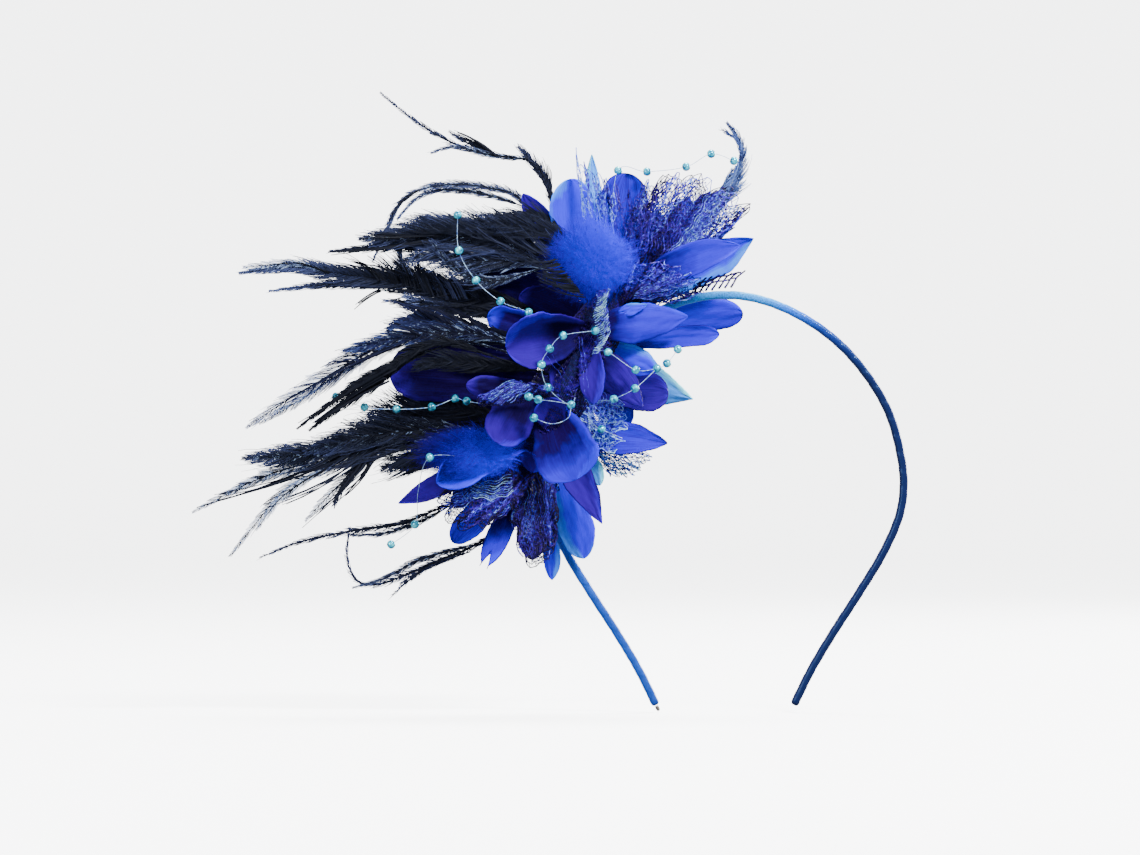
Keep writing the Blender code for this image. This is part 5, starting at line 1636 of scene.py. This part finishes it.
# The upper tuft is fuller than its solid, and the lower one is pushed into the cupped petal
# below it. The shift is in mm.
TUFT_SPREAD = {"upper": (1.14, 1.0, 1.06), "lower": (1.0, 1.0, 1.0), "dark": (1.0, 1.0, 1.0)}
TUFT_SHIFT = {"upper": (-0.2, 0, 0), "lower": (-2.2, -3.6, -1.4), "dark": (0, 0, 0)}
for name, slot, centre, depth, semi, lean, seed in DOWN:
    middle = splayed(place(centre, depth)) + np.array(TUFT_SHIFT[name])
    semi = np.array(semi) * TUFT_SPREAD[name]
    count, *stream = TUFTS[name]
    tuft = down_tuft("tuft_" + name, middle, semi, lean, count, DOWN_FINISHES[slot], seed, *stream)
    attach(tuft, "root")
    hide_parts("down_" + name)
    print(name, "tuft:", count, "hairs")

# %% [markdown]
# ## Beads on thread
# Small pearl beads are glued along clear thread. A bead is a sphere with its two ends sunk a
# little where the thread goes through. The thread is thin and nearly clear, so it only shows
# where light runs along it; its colour carries that as painted glints in patches.

# %% Pearl and thread finishes
def bead_pearl(name, low, middle, high):
    """Coated pearl whose colour swirls between three tones."""
    made, tree, shader = finish(name, middle, 0.2)
    shader.inputs["Coat Weight"].default_value = 0.8
    shader.inputs["Coat Roughness"].default_value = 0.06
    shader.inputs["Metallic"].default_value = 0.35
    swirl = clouds(tree, object_map(tree, 700), 2.0)
    colour = ramp(tree, swirl.outputs["Fac"], (0.34, low), (0.5, middle), (0.68, high))
    tree.links.new(colour, shader.inputs["Base Color"])
    return made


pearl = bead_pearl("bead_pearl", (0.003, 0.12, 0.24), (0.015, 0.50, 0.72), (0.16, 0.95, 1.0))
# painted shade: the far left thread hangs in the shade of the down, so its beads get a darker copy of
# the pearl
shaded_pearl = bead_pearl("bead_pearl_painted_shade", (0.001, 0.05, 0.10), (0.006, 0.20, 0.32),
                        (0.05, 0.55, 0.68))
clear_thread, tree, shader = finish("clear_thread", (0.5, 0.7, 0.95), 0.22)
# painted glints: the thread is lighter in patches, where light would run along it
glints = clouds(tree, object_map(tree, 900), 1.0)
painted_glint_colour = ramp(tree, glints.outputs["Fac"], (0.35, (0.10, 0.20, 0.60)),
                    (0.7, (0.55, 0.80, 1.0)))
tree.links.new(painted_glint_colour, shader.inputs["Base Color"])
print("pearls:", pearl.name, shaded_pearl.name)

# %% The thread table
# Each string is one thread or more, and each thread a row of (place, depth, mark). The first
# place is set in the base or on another thread, and B marks a bead.
STRINGS = [
    ("top", [[
        ((-40.7, -0.9), -4.0, ""), ((-41.0, 23.2), -4.2, ""), ((-38.5, 46.3), -4.4, "B"),
        ((-28.1, 45.9), -4.4, "B"), ((-14.0, 47.7), -4.0, "B"), ((-5.0, 52.4), -3.6, "B"),
        ((3.2, 49.9), -3.4, "B")]]),
    ("left", [[
        ((-54.0, -13.1), -14.0, ""), ((-70.6, -5.0), -16.0, "B"), ((-80.6, -1.1), -16.0, "B"),
        ((-89.3, 6.3), -15.6, "B"), ((-95.4, 16.9), -15.6, "B"), ((-95.8, 29.7), -15.6, "B")]]),
    ("middle", [
        [((-53.6, -30.4), -17.0, ""), ((-55.4, -38.0), -23.4, "B"), ((-63.7, -31.9), -26.6, "B"),
         ((-65.9, -23.8), -28.4, "B"), ((-63.0, -18.2), -28.4, "B"), ((-58.3, -13.5), -27.4, "B"),
         ((-46.8, -11.7), -25.0, "B")],
        [((-55.4, -38.0), -23.4, ""), ((-60.8, -36.9), -28.4, ""), ((-67.1, -36.2), -31.4, "B"),
         ((-70.4, -35.1), -32.4, "B")],
        [((-55.4, -38.0), -23.4, ""), ((-56.5, -42.7), -25.4, ""), ((-62.3, -44.8), -27.4, ""),
         ((-68.6, -42.7), -28.6, "B")]]),
    ("right", [
        [((-48.6, -18.9), -18.0, ""), ((-42.3, -19.3), -21.0, "B"), ((-32.5, -25.6), -20.4, "B"),
         ((-24.8, -25.0), -16.0, "B"), ((-21.2, -23.2), -14.6, "B"), ((-17.3, -18.2), -14.0, "B")],
        [((-24.8, -25.0), -16.0, ""), ((-32.7, -32.2), -20.4, "B"), ((-40.2, -36.0), -21.4, "B")]]),
    ("side", [[
        ((-57.2, -41.6), -14.6, ""), ((-48.6, -44.8), -15.6, ""), ((-44.6, -46.8), -16.2, "B"),
        ((-41.0, -48.4), -15.6, ""), ((-37.2, -49.9), -15.0, "")]]),
    ("far_left", [[
        ((-64.8, -39.1), -13.0, ""), ((-81.0, -38.3), -15.8, ""), ((-92.7, -36.7), -15.8, "B"),
        ((-96.8, -35.8), -15.8, "B"), ((-105.1, -38.8), -15.8, "B"), ((-117.7, -39.6), -15.6, "B"),
        ((-129.1, -38.8), -15.0, "B"), ((-139.3, -35.1), -14.6, "B")]]),
    ("lower", [[
        ((-63.7, -47.7), -10.0, ""), ((-69.8, -52.7), -14.0, ""), ((-75.2, -55.6), -14.0, ""),
        ((-81.0, -56.7), -15.0, ""), ((-91.8, -56.7), -17.0, ""), ((-105.5, -56.7), -24.6, "B"),
        ((-109.8, -68.6), -18.0, ""), ((-111.3, -80.8), -10.0, "B"), ((-119.9, -88.0), -9.0, "B")]]),
]

# %% Beads
BEAD_RADIUS = 1.6
# a bead is a touch smaller than its solid
BEAD_FIT = 0.97
THREAD_RADIUS = 0.11
SAMPLES_PER_PIECE = 10


def bead_at(shape, spot, run, size):
    """One bead: a sphere whose poles lie on the thread and are pressed in."""
    made = bmesh.ops.create_uvsphere(shape, u_segments=18, v_segments=12, radius=1.0)["verts"]
    turn = Vector(run).to_track_quat("Z", "Y").to_matrix()
    for v in made:
        pole = max(abs(v.co.z) - 0.9, 0) * 1.8
        v.co.z *= 1 - pole
        v.co = (turn @ (v.co * size) + Vector(spot)) * MM


def thread_bar(way):
    """The clear thread along a sampled line."""
    run, side, up = frames_along(way)
    last = len(way) - 1

    def surface(u, w):
        k = np.round(u * last).astype(int)
        turn = 2 * np.pi * w
        ring = side[k] * np.cos(turn)[:, None] + up[k] * np.sin(turn)[:, None]
        return way[k] + ring * THREAD_RADIUS

    return grid_piece("thread", last, BAR_SIDES, surface, clear_thread)


for name, threads in STRINGS:
    shape = bmesh.new()
    lines = []
    count = 0
    for thread in threads:
        way = smooth_way([splayed(place(xz, y)) for xz, y, mark in thread], SAMPLES_PER_PIECE)
        lines.append(way)
        run = unit(np.gradient(way, axis=0))
        for i, (xz, y, mark) in enumerate(thread):
            if mark == "B":
                k = min(i * SAMPLES_PER_PIECE, len(way) - 1)
                bead_at(shape, way[k], run[k], BEAD_RADIUS * BEAD_FIT)
                count += 1
    # the far left beads take the darker copy, as painted shade
    pearls = finished("pearls_" + name, shape, shaded_pearl if name == "far_left" else pearl)
    thread = merge("thread_" + name, [thread_bar(way) for way in lines])
    for piece in (pearls, thread):
        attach(piece, "root")
    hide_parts("beads_" + name)
    print(name, "string:", count, "beads")

# %% [markdown]
# ## The band
# The band is spring steel under satin ribbon, which is wound on a slant so that each turn laps
# the one before. The solid already has the band's line. Here a finer bar follows it, and its
# skin steps up and down along a slanted line, as lapped ribbon does.

# %% Satin ribbon
satin, tree, shader = finish("satin_blue", (0.02, 0.04, 0.40), 0.36, 0.02)
shader.inputs["Anisotropic"].default_value = 0.5
shader.inputs["Coat Weight"].default_value = 0.06
shader.inputs["Specular Tint"].default_value = (0.20, 0.55, 1.0, 1)
shader.inputs["Specular IOR Level"].default_value = 0.35
threads = clouds(tree, own_map(tree, (900, 14)), 2.0)
patches = clouds(tree, own_map(tree, (26, 2)), 2.0)
# the attribute holds painted light on the crown and painted shade, a deep navy, on the far leg
level = times_plus(tree, patches.outputs["Fac"], 0.20, attribute(tree, "dye_and_painted_light"))
blues = ramp(tree, level, (0.10, (0.007, 0.010, 0.055)), (0.40, (0.012, 0.035, 0.26)),
             (0.68, (0.018, 0.15, 0.80)), (1.0, (0.035, 0.50, 1.0)))
gaps = ramp(tree, threads.outputs["Fac"], (0.45, (0, 0, 0)), (0.62, (0.5, 0.5, 0.5)))
tree.links.new(mix(tree, gaps, blues, (0.005, 0.008, 0.08)), shader.inputs["Base Color"])
bump(tree, shader, threads.outputs["Color"], 0.25, 0.0002)
print("ribbon finish:", satin.name)

# %% The wound band
# Places on one half of the band, in mm across and up from the middle; the other half mirrors it.
BAND_HALF = [
    (0.0, 1.55), (7.2, 1.1), (16.2, -1.1), (26.1, -5.4), (36.0, -11.7), (45.0, -19.8),
    (53.1, -30.1), (58.9, -40.6), (62.4, -52.0), (64.3, -65.0), (62.8, -77.6), (56.9, -91.3),
    (48.2, -105.7), (38.9, -120.1), (31.0, -133.4), (24.8, -146.0),
]
BAND_THICK = 3.1
BAND_WIDE = 5.0
# the ribbon moves on by this much in one turn round the band
RIBBON_TURN = 6.5
BAND_STEPS = 720
BAND_AROUND = 20

right = [np.array([x, 0, z]) for x, z in BAND_HALF]
left = [np.array([-x, 0, z]) for x, z in reversed(BAND_HALF[1:])]
band_way = smooth_way(left + right)
band_line = along_way(band_way, np.linspace(0, 1, BAND_STEPS + 1))
band_length = way_length(band_way)
band_run, band_side, band_up = frames_along(band_line)


def band_surface(u, w):
    """A rounded oblong carried along the band, with a small step where each turn laps."""
    k = np.round(u * BAND_STEPS).astype(int)
    turn = 2 * np.pi * w
    c, s = np.cos(turn), np.sin(turn)
    round_off = (np.abs(c) ** 3 + np.abs(s) ** 3) ** (-1 / 3)
    lap = (u * band_length / RIBBON_TURN + w) % 1.0
    step = 1 - 0.075 * lap ** 2
    end = np.minimum(np.minimum(u, 1 - u) * band_length / 1.6, 1)
    closed = np.sqrt(np.clip(1 - (1 - end) ** 2, 0, 1)) * 0.45 + 0.55
    plane = band_side[k] * (c * round_off * step * closed * BAND_THICK / 2)[:, None]
    depth = band_up[k] * (s * round_off * step * closed * BAND_WIDE / 2)[:, None]
    return band_line[k] + plane + depth


ribbon = grid_piece("ribbon_wound", BAND_STEPS, BAND_AROUND, band_surface, satin)
# painted light on top of the crown, a little on the near leg and along the outer edge; painted shade
# leaves the far leg navy
u, w = grid_places(BAND_STEPS, BAND_AROUND)
k = np.round(u * BAND_STEPS).astype(int)
outward = np.sign(band_side[BAND_STEPS // 2, 2]) * np.cos(2 * np.pi * w)
crown = smooth_step((band_line[k, 2] + 42) / 40) * smooth_step((62 - band_line[k, 0]) / 55)
near = smooth_step(-band_line[k, 0] / 30) * (1 - crown)
outer = smooth_step((outward - 0.45) / 0.5)
shade(ribbon, "dye_and_painted_light", -0.04 + 0.80 * crown + 0.42 * near + 0.22 * outer)
# the seam along the grid is closed, and so are the two ends
shape = bmesh.new()
shape.from_mesh(ribbon.data)
bmesh.ops.remove_doubles(shape, verts=shape.verts, dist=0.000001)
bmesh.ops.holes_fill(shape, edges=[e for e in shape.edges if e.is_boundary], sides=0)
bmesh.ops.recalc_face_normals(shape, faces=shape.faces)
shape.to_mesh(ribbon.data)
shape.free()
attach(ribbon, "root")
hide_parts("band")
print("band length in mm:", round(band_length))

# %% [markdown]
# ### The bare end
# At one tip the ribbon stops short and the spring shows as a dull grey-brown nub. The solid is
# already its shape, so it only gets a worn metal finish.

# %% Bare metal end
core, tree, shader = finish("core_metal", (0.30, 0.27, 0.24), 0.45, 0.0, 0.85)
wear = clouds(tree, object_map(tree, 900), 4.0)
worn = ramp(tree, wear.outputs["Fac"], (0.35, (0.13, 0.10, 0.09)), (0.65, (0.42, 0.38, 0.34)))
tree.links.new(worn, shader.inputs["Base Color"])
bump(tree, shader, wear.outputs["Color"], 0.3, 0.0002)
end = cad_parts["band_end"]
end.data.materials.clear()
end.data.materials.append(core)
print("bare end:", core.name)

# %% [markdown]
# ## The base
# Everything is glued into one lump under a felt cover. It hardly shows from the front, but it
# does from behind. The same oval is made finer, roughened, and given the fuzz of felt.

# %% Felt base
felt, tree, shader = finish("felt_navy", (0.02, 0.02, 0.10), 0.95, 0.12)
shader.inputs["Sheen Tint"].default_value = (0.15, 0.2, 0.8, 1)
shader.inputs["Specular IOR Level"].default_value = 0.1
fibres = clouds(tree, object_map(tree, 1500), 5.0, 0.75)
fuzz = ramp(tree, fibres.outputs["Fac"], (0.3, (0.004, 0.004, 0.03)), (0.7, (0.02, 0.025, 0.13)))
tree.links.new(fuzz, shader.inputs["Base Color"])
bump(tree, shader, fibres.outputs["Color"], 0.8, 0.0004)

shape = bmesh.new()
bmesh.ops.create_uvsphere(shape, u_segments=72, v_segments=44, radius=1.0)
for v in shape.verts:
    rough = 1 + 0.022 * noise.noise(v.co * 9) + 0.010 * noise.noise(v.co * 31)
    x, y, z = (c * s * rough for c, s in zip(v.co, BASE_SEMI))
    v.co = Vector(on_base(x, y, z)) * MM
felt_base = finished("felt_base", shape, felt)
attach(felt_base, "root")
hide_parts("base")
print("felt base, points:", len(felt_base.data.vertices))

# %% [markdown]
# ## The sweep
# The picture's ground is pure white, so the paper gives light of its own.

# %% White sweep finish
SWEEP_GLOW = 4.5
paper, tree, shader = finish("paper", (0.93, 0.94, 0.96), 0.9)
grain = clouds(tree, object_map(tree, 30), 2.0)
white = ramp(tree, grain.outputs["Fac"], (0.4, (0.92, 0.93, 0.95)), (0.6, (0.94, 0.95, 0.97)))
tree.links.new(white, shader.inputs["Base Color"])
shader.inputs["Emission Color"].default_value = (1.0, 1.0, 1.0, 1)
shader.inputs["Emission Strength"].default_value = SWEEP_GLOW
sweep.data.materials.append(paper)
print("sweep finish:", paper.name)
